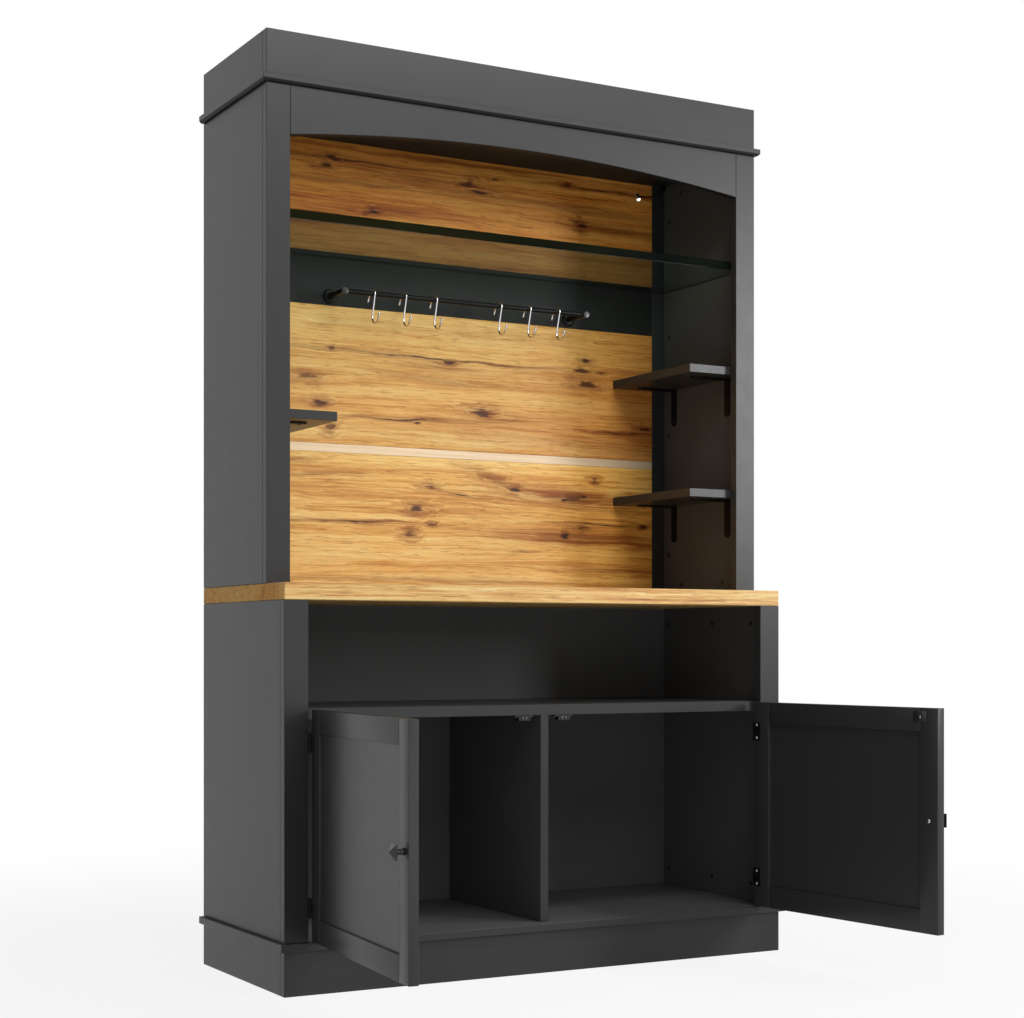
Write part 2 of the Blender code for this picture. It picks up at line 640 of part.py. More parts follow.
def build_door_leaf(name, side, level, paints):
    """The moving half of a hinge: a knuckle, a plate on the door edge and one inside it."""
    half, third = HINGE_HEIGHT / 2, HINGE_HEIGHT / 6 - FIT
    edge_x = along_door(side, DOOR_START - FIT - HINGE_LEAF, DOOR_START - FIT)
    wrap_x = along_door(side, DOOR_START - FIT - HINGE_LEAF, DOOR_START + HINGE_WRAP_WIDTH)
    wrap_y = (DOOR_BACK + FIT, DOOR_BACK + FIT + HINGE_WRAP_THICKNESS)
    levels = (level - half, level + half)
    leaf = box(name, wrap_x, wrap_y, levels)
    combine(leaf, box("edge plate", edge_x, (DOOR_FACE + FIT, wrap_y[1] - FIT), levels))
    middle = (level - third, level + third)
    combine(leaf, box("web", edge_x, (0, DOOR_FACE + 2 * FIT), middle))
    start = (0, 0, level - third)
    combine(leaf, cylinder("knuckle", KNUCKLE_DIAMETER / 2, 2 * third, Z_AXIS, start))
    bore = PIN_DIAMETER / 2 + PIN_CLEARANCE
    below = (0, 0, level - half)
    combine(leaf, cylinder("bore", bore, HINGE_HEIGHT, Z_AXIS, below), "DIFFERENCE")
    return paint(smooth(leaf), paints["metal"])


def build_doors(paints):
    """Each door is made closed, round its hinge axis, and then turned open on it."""
    for word, side in SIDES.items():
        pieces = build_door_frame(word, side, paints)
        pieces.append(build_knob(word, side, paints))
        for place, level in HINGE_LEVELS.items():
            pieces.append(build_door_leaf(f"{word}_{place}_hinge_leaf", side, level, paints))
        axis = bpy.data.objects.new(f"{word}_door_axis", None)
        bpy.context.collection.objects.link(axis)
        axis.location = (side * HINGE_X, HINGE_Y, 0)
        axis.rotation_euler.z = side * DOOR_OPENING
        for piece in pieces:
            piece.parent = axis


def build_catches(paints):
    """Magnetic catches under the niche shelf, one each side of the divider."""
    ear, body = CATCH_WIDTH / 2, CATCH_BODY_WIDTH / 2
    outline = [
        (-ear, 0), (-ear, -CATCH_EAR_HEIGHT), (-body, -CATCH_EAR_HEIGHT), (-body, -CATCH_HEIGHT),
        (body, -CATCH_HEIGHT), (body, -CATCH_EAR_HEIGHT), (ear, -CATCH_EAR_HEIGHT), (ear, 0),
    ]
    offset = DIVIDER_THICKNESS / 2 + CATCH_CLEARANCE + ear
    level = NICHE_FLOOR - NICHE_SHELF_THICKNESS - FIT
    for word, side in SIDES.items():
        place = (side * offset, BASE_INSIDE + CATCH_DEPTH, level)
        catch = plate(f"{word}_magnetic_catch", outline, X_AXIS, Z_AXIS, CATCH_DEPTH, place)
        paint(catch, paints["plastic"])


def build_lamp(paints):
    """A small lamp in the rear right corner: a block under the ceiling, an arm and a head."""
    width, depth, height = LAMP_BLOCK
    high_x = INNER - LAMP_SIDE_GAP
    high_y = BACK_FACE - LAMP_REAR_GAP
    block_x = (high_x - width, high_x)
    block_y = (high_y - depth, high_y)
    lamp = box("corner_lamp", block_x, block_y, (CEILING - FIT - height, CEILING - FIT))
    ease_edges(lamp, BOARD_EDGE)
    start = Vector((high_x - width / 2, (block_y[0] + block_y[1]) / 2, CEILING - FIT - height / 2))
    points = []
    for step in range(LAMP_ARM_STEPS + 1):
        share = step / LAMP_ARM_STEPS
        drop = LAMP_ARM_DROP * math.sin(share * math.pi / 2)
        points.append(start - X_AXIS * (LAMP_ARM_REACH * share) - Z_AXIS * drop)
    combine(lamp, tube("arm", points, LAMP_ARM_DIAMETER / 2))
    radius = LAMP_HEAD_DIAMETER / 2
    rim = LAMP_ARM_DIAMETER / 2
    profile = [
        (0, 0), (0, rim), (radius, radius), (LAMP_HEAD_LENGTH, radius), (LAMP_HEAD_LENGTH, 0),
    ]
    top = points[-1] + Z_AXIS * LAMP_ARM_DIAMETER
    combine(lamp, turned("head", profile, -Z_AXIS, top))
    paint(smooth(lamp), paints["metal"])


def main():
    for obj in list(bpy.data.objects):
        bpy.data.objects.remove(obj)
    paints = {
        "paint": principled("anthracite paint", (0.045, 0.046, 0.047), 0.45),
        "oak": principled("rustic oak", (0.52, 0.29, 0.10), 0.50),
        "pale": principled("pale oak", (0.78, 0.56, 0.36), 0.50),
        "glass": principled("green glass", (0.80, 0.92, 0.86), 0.05, transmission=1.0),
        "metal": principled("black metal", (0.015, 0.015, 0.016), 0.40, metallic=0.8),
        "chrome": principled("chrome", (0.85, 0.85, 0.86), 0.10, metallic=1.0),
        "plastic": principled("black plastic", (0.015, 0.015, 0.015), 0.50),
    }
    build_plinth(paints)
    build_base(paints)
    build_pilasters(paints)
    build_hutch(paints)
    build_valance(paints)
    build_back(paints)
    build_glass_shelf(paints)
    build_small_shelves(paints)
    build_rail(paints)
    build_hooks(paints)
    build_doors(paints)
    build_catches(paints)
    build_lamp(paints)


main()
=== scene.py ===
"""Looks of the tall kitchen buffet cabinet.

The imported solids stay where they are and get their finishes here. Turned, bent and jointed
pieces get finer meshes, and the small fittings that the solids leave out are added: screws,
cam covers, strike plates and the lamp's lens. Metres, +Z up, the front faces -Y.
"""
import json
import math

import bmesh
import bpy
from mathutils import Matrix, Vector


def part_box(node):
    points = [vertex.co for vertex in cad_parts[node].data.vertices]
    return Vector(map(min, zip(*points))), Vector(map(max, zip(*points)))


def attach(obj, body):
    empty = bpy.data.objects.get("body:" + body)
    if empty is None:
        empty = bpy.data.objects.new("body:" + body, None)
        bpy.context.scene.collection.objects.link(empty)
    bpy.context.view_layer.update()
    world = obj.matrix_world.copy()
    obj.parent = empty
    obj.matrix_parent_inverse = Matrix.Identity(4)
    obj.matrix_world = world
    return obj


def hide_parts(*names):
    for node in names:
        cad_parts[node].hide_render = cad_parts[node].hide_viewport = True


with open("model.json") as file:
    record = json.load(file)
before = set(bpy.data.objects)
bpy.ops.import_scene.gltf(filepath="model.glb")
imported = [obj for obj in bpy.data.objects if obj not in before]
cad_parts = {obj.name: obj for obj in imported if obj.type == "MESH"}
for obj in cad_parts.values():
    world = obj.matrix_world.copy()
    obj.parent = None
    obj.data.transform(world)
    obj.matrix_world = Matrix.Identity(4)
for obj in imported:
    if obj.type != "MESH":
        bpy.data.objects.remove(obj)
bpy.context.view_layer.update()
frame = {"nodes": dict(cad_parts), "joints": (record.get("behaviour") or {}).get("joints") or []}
NODES = frame["nodes"]
JOINTS = {joint["name"]: joint for joint in frame["joints"]}

# The photograph's camera
CAMERA_PLACE = (-2.138, -3.891, 0.723)
CAMERA_TURN = math.radians(29.22)
CAMERA_LENS = 66.84
SENSOR_WIDTH = 36.0
CAMERA_SHIFT_UP = 0.1351

# Planes of the cabinet
SIDES = {"left": -1, "right": 1}
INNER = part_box("base_right_side")[0].x
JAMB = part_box("hutch_right_stile")[0].x
BASE_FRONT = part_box("plinth_front")[0].y
BACK_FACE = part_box("back_lower_panel")[0].y
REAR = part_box("base_back")[1].y
FIT = 0.0003
GLASS_EDGE = 0.0012

# A door's own frame, measured from its hinge axis: along the door, and back from the axis
HINGE_X, HINGE_Y = JOINTS["right_door_hinge"]["pos_m"][:2]
DOOR_OPENING = -math.radians(JOINTS["right_door_hinge"]["range_deg"][0])
DOOR_MEETING_GAP = 0.003
DOOR_START = JAMB - HINGE_X
DOOR_END = HINGE_X - DOOR_MEETING_GAP / 2
DOOR_FACE = BASE_FRONT - HINGE_Y
DOOR_THICKNESS = 0.020
DOOR_BACK = DOOR_FACE + DOOR_THICKNESS
DOOR_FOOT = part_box("right_door_frame")[0].z
DOOR_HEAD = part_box("right_door_frame")[1].z
DOOR_STILE = 0.051
DOOR_RAIL = 0.0495
DOOR_SEAM = 0.0004
DOOR_EDGE = 0.0010

# Hook rail and its S-hooks, round the axis of the bar. Here and below, a profile of a turned
# piece is a list of (along its axis, radius).
RAIL_SPAN = 0.654
BAR_Y, BAR_Z = JOINTS["hook_1_swing"]["pos_m"][1:]
BAR_RADIUS = 0.006
BAR_END_RADIUS = 0.8 * BAR_RADIUS
BAR_END_EDGE = 0.001
POST_RADIUS = 0.00675
CAP_RADIUS = 0.0089
CAP_LENGTH = 0.003
ROSETTE_RADIUS = 0.017
ROSETTE_THICKNESS = 0.005
POST_END = 0.011
POST_FILLET = 0.0010
ROSETTE_EDGE = 0.0006
CAP_EDGE = 0.0003
CAP_CENTRE = 0.001
# Rounded rims: back from the face, in from the rim
ROSETTE_ROUND = ((0.0020, 0.0), (0.0008, 0.0009), (0.0, 0.0028))
CAP_ROUND = ((0.0008, 0.0), (0.0002, 0.0006), (0.0, 0.0014))
HOOK_COUNT = 6
WIRE_RADIUS = 0.0022
HOOK_REAR_RADIUS = 0.031
HOOK_REAR_SWEEP = math.radians(73)
HOOK_SHANK_LENGTH = 0.0475
HOOK_SHANK_LEAN = math.radians(17)
HOOK_LOOP_RADIUS = 0.017
HOOK_TIP_LENGTH = 0.016
HOOK_TIP_LEAN = math.radians(35)

# Fittings of the doors, in a door's own frame
KNOB_INSET = 0.025
KNOB_LEVEL = (DOOR_FOOT + DOOR_HEAD) / 2
KNOB_STEM = 0.017
KNOB_HEAD = 0.030
KNOB_LENGTH = 0.012
KNOB_RIM_EDGE = 0.0008
KNOB_RIM = 0.0015
KNOB_TIP = 0.001
KNOB_SOFTENING = 0.0004
KNOB_SOFTENED_ANGLE = math.radians(30)
KNOB_STEM_PROFILE = [
    (0, 0.0066), (0.0004, 0.00675), (0.0042, 0.00675), (0.0050, 0.0063), (0.0056, 0.0053),
    (0.0110, 0.00515), (KNOB_STEM, 0.00525),
]
HINGE_INSET = 0.069
HINGE_SCREW_PLACE = 0.0125
HINGE_SCREW_SPREAD = 0.015
HINGE_WRAP = 0.0015
HINGE_PLATE_FACE = DOOR_BACK + FIT + HINGE_WRAP
STRIKE_PLATE = ((0.508, 0.546), (0.5635, 0.5875))
STRIKE_SCREW = (0.527, 0.574)
STRIKE_THICKNESS = 0.0012
STRIKE_LIP_WIDTH = 0.0016
STRIKE_LIP_RISE = 0.0004
STRIKE_SCREW_SINK = 0.0004
STRIKE_EDGE = 0.0004

# Magnetic catches: two steel poles at the front, a screw through each ear
POLE_OFFSET = 0.0045
POLE_HALF_WIDTH = 0.0012
POLE_FRONT = 0.0007
POLE_DEPTH = 0.004
POLE_FOOT = 0.0015
POLE_HEAD = 0.0035
POLE_EDGE = 0.0003
CATCH_SCREW_OFFSET = 0.019
CATCH_EAR = 0.003

# Screw heads: radius, height
HINGE_SCREW_HEAD = (0.0036, 0.0016)
STRIKE_SCREW_HEAD = (0.0036, 0.0008)
KNOB_SCREW_HEAD = (0.0042, 0.0022)
BRACKET_SCREW_HEAD = (0.0034, 0.0014)
BRACKET_BOLT_HEAD = (0.0036, 0.0018)
CATCH_SCREW_HEAD = (0.0026, 0.0014)
# A head's profile and its cross recess, as shares of its height and radius
SCREW_PROFILE = ((0.0, 1.0), (0.35, 1.0), (0.75, 0.82), (0.95, 0.55), (1.0, 0.40))
RECESS_ARM = (0.25, 0.36)
RECESS_CORNER = (0.92, 0.16)

# Brackets and lamp
BRACKET_THICKNESS = 0.0035
BRACKET_SCREW_DROP = 0.022
BRACKET_SCREW_RISE = 0.014
BRACKET_BOLT_REACHES = (0.026, 0.096)
LAMP_BLOCK = (0.011, 0.013, 0.016)
LAMP_HEAD_PLACE = (0.0950, 0.0225, 0.0400)
LAMP_NECK_RADIUS = 0.0018
LAMP_EDGE = 0.0025
LAMP_TILT = (0.25, -0.25, -1)
LAMP_HEAD_PROFILE = [
    (-0.0060, 0.0020), (-0.0052, 0.0032), (-0.0015, 0.0056), (0.0030, 0.0060), (0.0088, 0.0060),
    (0.0092, 0.0056), (0.0092, 0.0050),
]
LAMP_LENS_PROFILE = [
    (0.0092, 0.0049), (0.0106, 0.0047), (0.0124, 0.0036), (0.0134, 0.0020), (0.0138, 0.0005),
]
LAMP_TAIL_PROFILE = [(-0.0064, 0.0004), (-0.0061, 0.0018), (-0.0052, 0.0026)]

# Cam covers on the inner faces of the sides, at (depth, height)
CAM_RADIUS = 0.0055
CAM_PROFILE = [
    (0, CAM_RADIUS), (0.0003, CAM_RADIUS), (0.0006, CAM_RADIUS - 0.0003), (0.0006, CAM_RADIUS - 0.0012),
    (0.0003, CAM_RADIUS - 0.0018), (0.0003, 0.0004),
]
CAM_PLACES = [(y, z) for z in (0.782, 0.151) for y in (-0.150, 0.012, 0.204)]
CAM_PLACES += [(y, z) for z in (0.883, 1.887) for y in (-0.032, 0.148)]
CAM_PLACES += [(0.204, z) for z in (0.9618, 1.2706, 1.5257, 1.8214)]

# Fine meshes
ROUND_STEPS = 40
WIRE_STEPS = 16
HOOK_STEPS = 12
SCREW_STEPS = 16
CAM_STEPS = 24
LAMP_NECK_STEPS = 20
LAMP_NECK_SIDES = 12
LAMP_HEAD_SIDES = 32
LAMP_TAIL_SIDES = 24
BEVEL_STEPS = 3
SMALL_BEVEL_STEPS = 2
SHARP_ANGLE = math.radians(40)
DOME_TURNS = (math.radians(20), math.radians(50))

# Wood flaws, and a band of painted shade along the lower panel's foot. Cracks and bands: middle x, height
# over the panel's foot, length, thickness, lean in degrees, depth of tone. Knots: middle x, height, width,
# height, depth of tone.
LOWER_CRACKS_AND_FOOT_SHADE = [
    (-0.450, 0.305, 0.14, 0.007, 0, 0.60), (-0.360, 0.273, 0.20, 0.006, 1, 0.50),
    (0.020, 0.234, 0.13, 0.005, -7, 0.70), (-0.270, 0.164, 0.36, 0.0045, 0, 0.85),
    (0.420, 0.176, 0.30, 0.0045, 0, 0.85), (0.135, 0.272, 0.17, 0.014, -17, 0.70),
    (0.330, 0.245, 0.32, 0.020, -2, 1.00), (0.400, 0.138, 0.40, 0.014, -1, 0.85),
    (0.205, 0.104, 0.08, 0.003, 0, 0.60), (0.470, 0.059, 0.34, 0.009, -1, 0.55),
    # A dark band along the panel's foot, just above the worktop: painted shade.
    (0.000, 0.022, 1.50, 0.008, 0, 0.40),
]
LOWER_KNOTS = [
    (-0.060, 0.254, 0.035, 0.012, 0.60), (-0.097, 0.197, 0.045, 0.016, 0.75),
    (-0.058, 0.164, 0.022, 0.007, 0.95), (-0.118, 0.137, 0.028, 0.020, 0.55),
    (0.176, 0.262, 0.028, 0.012, 1.00), (0.345, 0.242, 0.070, 0.020, 0.60),
    (0.407, 0.296, 0.020, 0.010, 0.80), (0.318, 0.144, 0.022, 0.011, 1.00),
    (0.369, 0.163, 0.050, 0.014, 0.60), (0.549, 0.176, 0.025, 0.009, 0.90),
    (0.312, 0.237, 0.018, 0.007, 0.90), (0.372, 0.248, 0.015, 0.006, 0.85),
]
MIDDLE_CRACKS = [
    (-0.030, 0.221, 0.85, 0.004, 0, 0.70), (-0.025, 0.200, 0.18, 0.010, -2, 0.40),
    (-0.040, 0.167, 0.28, 0.007, -3, 0.50), (-0.130, 0.065, 0.42, 0.005, 1, 0.75),
    (0.145, 0.079, 0.25, 0.011, 4, 0.40), (0.490, 0.069, 0.25, 0.0045, 0, 0.80),
    (0.300, 0.034, 0.75, 0.020, 0, 0.32),
]
MIDDLE_KNOTS = [
    (-0.010, 0.216, 0.035, 0.010, 0.85), (-0.323, 0.222, 0.014, 0.007, 0.60),
    (-0.387, 0.152, 0.050, 0.014, 0.50), (-0.352, 0.096, 0.035, 0.014, 0.75),
    (-0.327, 0.035, 0.025, 0.020, 0.55), (-0.094, 0.059, 0.010, 0.006, 0.70),
    (0.370, 0.219, 0.035, 0.008, 0.70), (0.381, 0.247, 0.022, 0.010, 0.80),
    (0.427, 0.219, 0.020, 0.006, 0.80), (0.380, 0.187, 0.050, 0.018, 0.70),
    (0.079, 0.093, 0.050, 0.017, 0.80), (0.560, 0.085, 0.030, 0.009, 0.80),
]
UPPER_CRACKS = [
    (-0.250, 0.206, 0.62, 0.005, 1, 0.85), (-0.110, 0.185, 0.42, 0.024, -4, 0.60),
    (-0.250, 0.154, 0.42, 0.006, 0, 0.75), (0.430, 0.215, 0.36, 0.005, 0, 0.80),
    (0.480, 0.120, 0.30, 0.012, -2, 0.70), (0.050, 0.236, 0.80, 0.008, 0, 0.60),
    (-0.180, 0.092, 0.36, 0.012, 2, 0.50), (0.330, 0.160, 0.50, 0.010, -1, 0.50),
]
UPPER_KNOTS = [
    (-0.320, 0.205, 0.050, 0.010, 0.90), (-0.338, 0.187, 0.035, 0.008, 0.80),
    (-0.213, 0.089, 0.028, 0.012, 1.00), (0.045, 0.189, 0.040, 0.018, 0.65),
    (0.080, 0.172, 0.060, 0.014, 0.75), (0.114, 0.208, 0.020, 0.006, 0.80),
    (0.322, 0.219, 0.030, 0.010, 0.90), (0.371, 0.123, 0.035, 0.014, 1.00),
    (0.362, 0.144, 0.012, 0.004, 0.80),
]

# Where most values of a noise lie
NOISE_SPAN = (0.3, 0.7)

# Paints: name, colour, roughness, specular level
PAINTS = {
    "paint": ("anthracite_paint", (0.034, 0.034, 0.0343), 0.32, 0.200),
    # Inside faces: a lighter copy of the paint, painted light in the enclosed spaces.
    "inside": ("matt_inside_paint", (0.085, 0.085, 0.085), 0.50, 0.06),
    # Darker paint: on the hook board, and on undersides as painted shade.
    "board": ("matt_board_paint", (0.018, 0.018, 0.0175), 0.45, 0.09),
}
PAINT_DRIFT = 0.05
PAINT_GLOSS_SPREAD = 0.015

# Metals and plastic: name, colour, roughness, metallic, depth of the surface grain, specular level
METALS = {
    "black": ("black_lacquered_metal", (0.007, 0.007, 0.007), 0.34, 0.0, 0.00004, 0.10),
    "knob": ("black_knob_metal", (0.010, 0.010, 0.010), 0.30, 0.0, 0.00004, 0.45),
    "steel": ("zinc_steel", (0.55, 0.55, 0.56), 0.30, 1.0, 0.00002, 0.5),
    "dull_steel": ("dull_steel", (0.10, 0.10, 0.10), 0.40, 1.0, 0.00003, 0.5),
    "pewter": ("grey_end_cap", (0.018, 0.018, 0.018), 0.26, 0.0, 0.00002, 0.3),
    "chrome": ("polished_chrome", (0.82, 0.82, 0.84), 0.09, 1.0, 0.000004, 0.5),
    "plastic": ("moulded_black_plastic", (0.012, 0.012, 0.012), 0.45, 0.0, 0.00006, 0.2),
}
METAL_DARK = 0.85
METAL_GLOSS_SPREAD = 0.2

# Wood colours
OAK_DEEP = (0.380, 0.140, 0.034, 1)
OAK_MID = (0.640, 0.300, 0.070, 1)
OAK_PLAIN = (0.815, 0.470, 0.136, 1)
OAK_LIGHT = (0.940, 0.690, 0.275, 1)
OAK_RED = (0.290, 0.090, 0.022, 1)
OAK_DARK = (0.030, 0.013, 0.006, 1)
OAK_SPECULAR = 0.25
WORKTOP_SPECULAR = 0.45
END_SPECULAR = 0.08
OAK_TONE = 0.52
GRAIN_BEND = 0.010
GRAIN_WAVE = 0.006
GRAIN_WAVE_SHARE = 0.45
FLAW_LIFT = 0.012
FLAW_DEPTH = 1000
THIN_CRACK = 0.006
WIDE_CRACK_CORE = 0.25
# Tints multiply the wood's colour: at the left, and from the turn on towards the right end. Besides the
# wood's own tone they hold painted light and shade, as noted on each.
PAINTED_LIGHT_TURN = 0.10
# Worktop: its own darker tone, growing paler and cooler towards the right end as a painted sheen.
WORKTOP_TONE_AND_SHEEN_TINTS = ((0.81, 0.83, 0.88, 1), (0.81, 0.91, 1.12, 1))
# Worktop ends: lighter and warmer than the top, painted light on the end faces.
END_FACE_LIGHT_TINTS = ((1.12, 1.00, 0.85, 1), (1.12, 1.00, 0.85, 1))
# Lower panel: warmer and lighter towards the right end, painted light lifting the shade of the right stile.
LOWER_TONE_AND_LIGHT_TINTS = ((0.93, 0.96, 1.00, 1), (1.20, 1.06, 0.72, 1))
# Middle panel: darker and redder towards the right end, painted shade of the right stile.
MIDDLE_TONE_AND_SHADE_TINTS = ((0.83, 0.79, 0.76, 1), (0.84, 0.61, 0.42, 1))
# Upper panel: darker and redder throughout, painted shade under the top, and lighter towards the right end,
# painted light.
UPPER_SHADE_AND_LIGHT_TINTS = ((0.83, 0.51, 0.24, 1), (1.18, 0.64, 0.34, 1))
PALE_COLOURS = ((0.69, 0.50, 0.29, 1), (0.82, 0.64, 0.44, 1))
BACKING_COLOURS = ((0.15, 0.085, 0.045, 1), (0.24, 0.145, 0.080, 1))

# Glass shelf and the lamp's lens
GLASS_COLOUR = (0.93, 0.98, 0.95, 1)
GLASS_SHADOW = (0.80, 0.88, 0.83, 1)
GLASS_DEPTH_COLOUR = (0.10, 0.55, 0.25, 1)
GLASS_DENSITY = 7.0
GLASS_IOR = 1.52
# The shelf's edge turns from olive to deep green between these places along it; the darker right end is
# painted shade.
EDGE_SHADE_TURN = (-0.3, 0.4)
EDGE_OLIVE = ((0.0065, 0.0070, 0.0022, 1), (0.0125, 0.0130, 0.0042, 1))
EDGE_SHADED_GREEN = ((0.0020, 0.0032, 0.0024, 1), (0.0040, 0.0056, 0.0042, 1))
EDGE_SPECULAR = 0.005
LENS_COLOUR = (0.9, 0.9, 0.88, 1)
LENS_GLOW = (1.0, 0.97, 0.92, 1)
LENS_STRENGTH = (1.6, 2.4)

# Stage
SURROUND_LIGHT = 0.19
FLOOR_COLOUR = (0.66, 0.66, 0.66, 1)
FLOOR_ROUGHNESS = 0.9
FLOOR_REACH = 30
FLOOR_FADE = (0.8, 3.0)
FLOOR_GLOW = (0.87, 1.0)
LAMPS_AIM = (0, 0, 1.0)
# Lamps: name, degrees right of the front, degrees up, distance, size, radiance
SOFTBOXES = [
    ("right_softbox", 41, 11, 4.5, (0.8, 1.4), 25.0),
    ("top_softbox", 15, 50, 2.23, (1.4, 0.3), 11.0),
    ("key_softbox", 62, 40, 5.0, (0.35, 0.35), 140.0),
    ("front_softbox", 0, 34, 4.5, (2.6, 1.6), 3.0),
    ("low_softbox", -18, -17, 2.0, (1.8, 0.8), 1.0),
]


# Materials

def new_material(name):
    """A material with one Principled shader; returns it, its tree and the shader."""
    material = bpy.data.materials.new(name)
    material.use_nodes = True
    tree = material.node_tree
    return material, tree, tree.nodes["Principled BSDF"]


def plug(tree, socket, value):
    """Link another node's output to a socket, or set a plain value on it."""
    if isinstance(value, bpy.types.NodeSocket):
        tree.links.new(value, socket)
    else:
        socket.default_value = value


def node(tree, kind, inputs=None, **settings):
    """Add a node with its settings and its inputs by name or number."""
    made = tree.nodes.new("ShaderNode" + kind)
    for name, value in settings.items():
        setattr(made, name, value)
    for key, value in (inputs or {}).items():
        plug(tree, made.inputs[key], value)
    return made


def calc(tree, operation, *values, clamp=False):
    """A Math node's result."""
    made = node(tree, "Math", dict(enumerate(values)), operation=operation, use_clamp=clamp)
    return made.outputs[0]


def shifted(tree, vector, offset):
    """A vector moved by another."""
    return node(tree, "VectorMath", {0: vector, 1: offset}, operation="ADD").outputs[0]


def noise(tree, vector, scale, detail=2.0, roughness=0.5):
    """Noise over a place, stretched by a scale for each axis."""
    spread = node(tree, "VectorMath", {0: vector, 1: scale}, operation="MULTIPLY").outputs[0]
    inputs = {"Vector": spread, "Scale": 1.0, "Detail": detail, "Roughness": roughness}
    return node(tree, "TexNoise", inputs).outputs["Fac"]


def remap(tree, value, low, high, to_low, to_high, kind="LINEAR"):
    """A value moved from one range to another, and held inside it."""
    inputs = {"Value": value, "From Min": low, "From Max": high, "To Min": to_low, "To Max": to_high}
    return node(tree, "MapRange", inputs, interpolation_type=kind, clamp=True).outputs["Result"]


def blend(tree, share, first, second):
    """A mix of two colours."""
    made = node(tree, "Mix", data_type="RGBA")
    plug(tree, made.inputs["Factor"], share)
    plug(tree, made.inputs[6], first)
    plug(tree, made.inputs[7], second)
    return made.outputs[2]


def ramp(tree, value, stops):
    """A colour for a value between stops of (place, colour)."""
    made = node(tree, "ValToRGB", {"Fac": value})
    elements = made.color_ramp.elements
    while len(elements) < len(stops):
        elements.new(0.5)
    for element, (place, colour) in zip(elements, stops):
        element.position = place
        element.color = colour
    return made.outputs["Color"]


def two_tone(tree, value, colours):
    """A colour between two, for a noise's value."""
    return ramp(tree, value, list(zip(NOISE_SPAN, colours)))


def bump(tree, height, distance):
    """A surface normal from a height."""
    inputs = {"Height": height, "Distance": distance, "Strength": 1.0}
    return node(tree, "Bump", inputs).outputs["Normal"]


def object_place(tree):
    """The place on a piece in its own frame."""
    return node(tree, "TexCoord").outputs["Object"]


def paint_material(name, colour, roughness, specular):
    """Sprayed satin paint: a slow drift of tone, uneven gloss and a fine orange peel."""
    material, tree, shader = new_material(name)
    place = object_place(tree)
    drift = noise(tree, place, (3.1, 2.7, 2.3), 3)
    low = tuple((1 - PAINT_DRIFT) * part for part in colour) + (1,)
    high = tuple((1 + PAINT_DRIFT) * part for part in colour) + (1,)
    share = remap(tree, drift, *NOISE_SPAN, 0, 1)
    plug(tree, shader.inputs["Base Color"], blend(tree, share, low, high))
    gloss = noise(tree, place, (34, 33, 32), 4)
    smooth, dull = roughness - PAINT_GLOSS_SPREAD, roughness + PAINT_GLOSS_SPREAD
    spread = remap(tree, gloss, *NOISE_SPAN, smooth, dull)
    plug(tree, shader.inputs["Roughness"], spread)
    shader.inputs["Specular IOR Level"].default_value = specular
    peel = noise(tree, place, (520, 540, 560), 2)
    plug(tree, shader.inputs["Normal"], bump(tree, peel, 0.00006))
    return material


def flaw_shares(tree, place, foot, cracks, knots):
    """How dark a flaw is at a place, and how much the wood round it is stained."""
    fray = noise(tree, place, (24, 130, 130), 3, 0.6)
    core, halo = 0.0, 0.0
    for x, height, length, thickness, lean, depth in cracks:
        spot = {
            "Vector": place, "Location": (x, 0, foot + height),
            "Rotation": (0, -math.radians(lean), 0), "Scale": (length / 2, FLAW_DEPTH, thickness),
        }
        local = node(tree, "Mapping", spot, vector_type="TEXTURE").outputs[0]
        away = node(tree, "VectorMath", {0: local}, operation="LENGTH").outputs["Value"]
        thin = 1.0 if thickness < THIN_CRACK else WIDE_CRACK_CORE
        core = calc(tree, "MAXIMUM", core, remap(tree, away, 0.05, 0.75, depth * thin, 0, "SMOOTHSTEP"))
        halo = calc(tree, "MAXIMUM", halo, remap(tree, away, 0.2, 2.2, depth, 0, "SMOOTHSTEP"))
    core = calc(tree, "MULTIPLY", core, remap(tree, fray, 0.36, 0.56, 0.55, 1.25), clamp=True)
    wobble = remap(tree, fray, 0.25, 0.75, 1.0, -1.0)
    for x, height, width, tall, depth in knots:
        spot = {
            "Vector": place, "Location": (x, 0, foot + height),
            "Scale": (width / 2, FLAW_DEPTH, tall / 2),
        }
        local = node(tree, "Mapping", spot, vector_type="TEXTURE").outputs[0]
        away = node(tree, "VectorMath", {0: local}, operation="LENGTH").outputs["Value"]
        away = calc(tree, "ADD", away, wobble)
        core = calc(tree, "MAXIMUM", core, remap(tree, away, 0.3, 1.4, depth, 0, "SMOOTHSTEP"))
        halo = calc(tree, "MAXIMUM", halo, remap(tree, away, 0.8, 3.8, depth, 0, "SMOOTHSTEP"))
    return core, halo


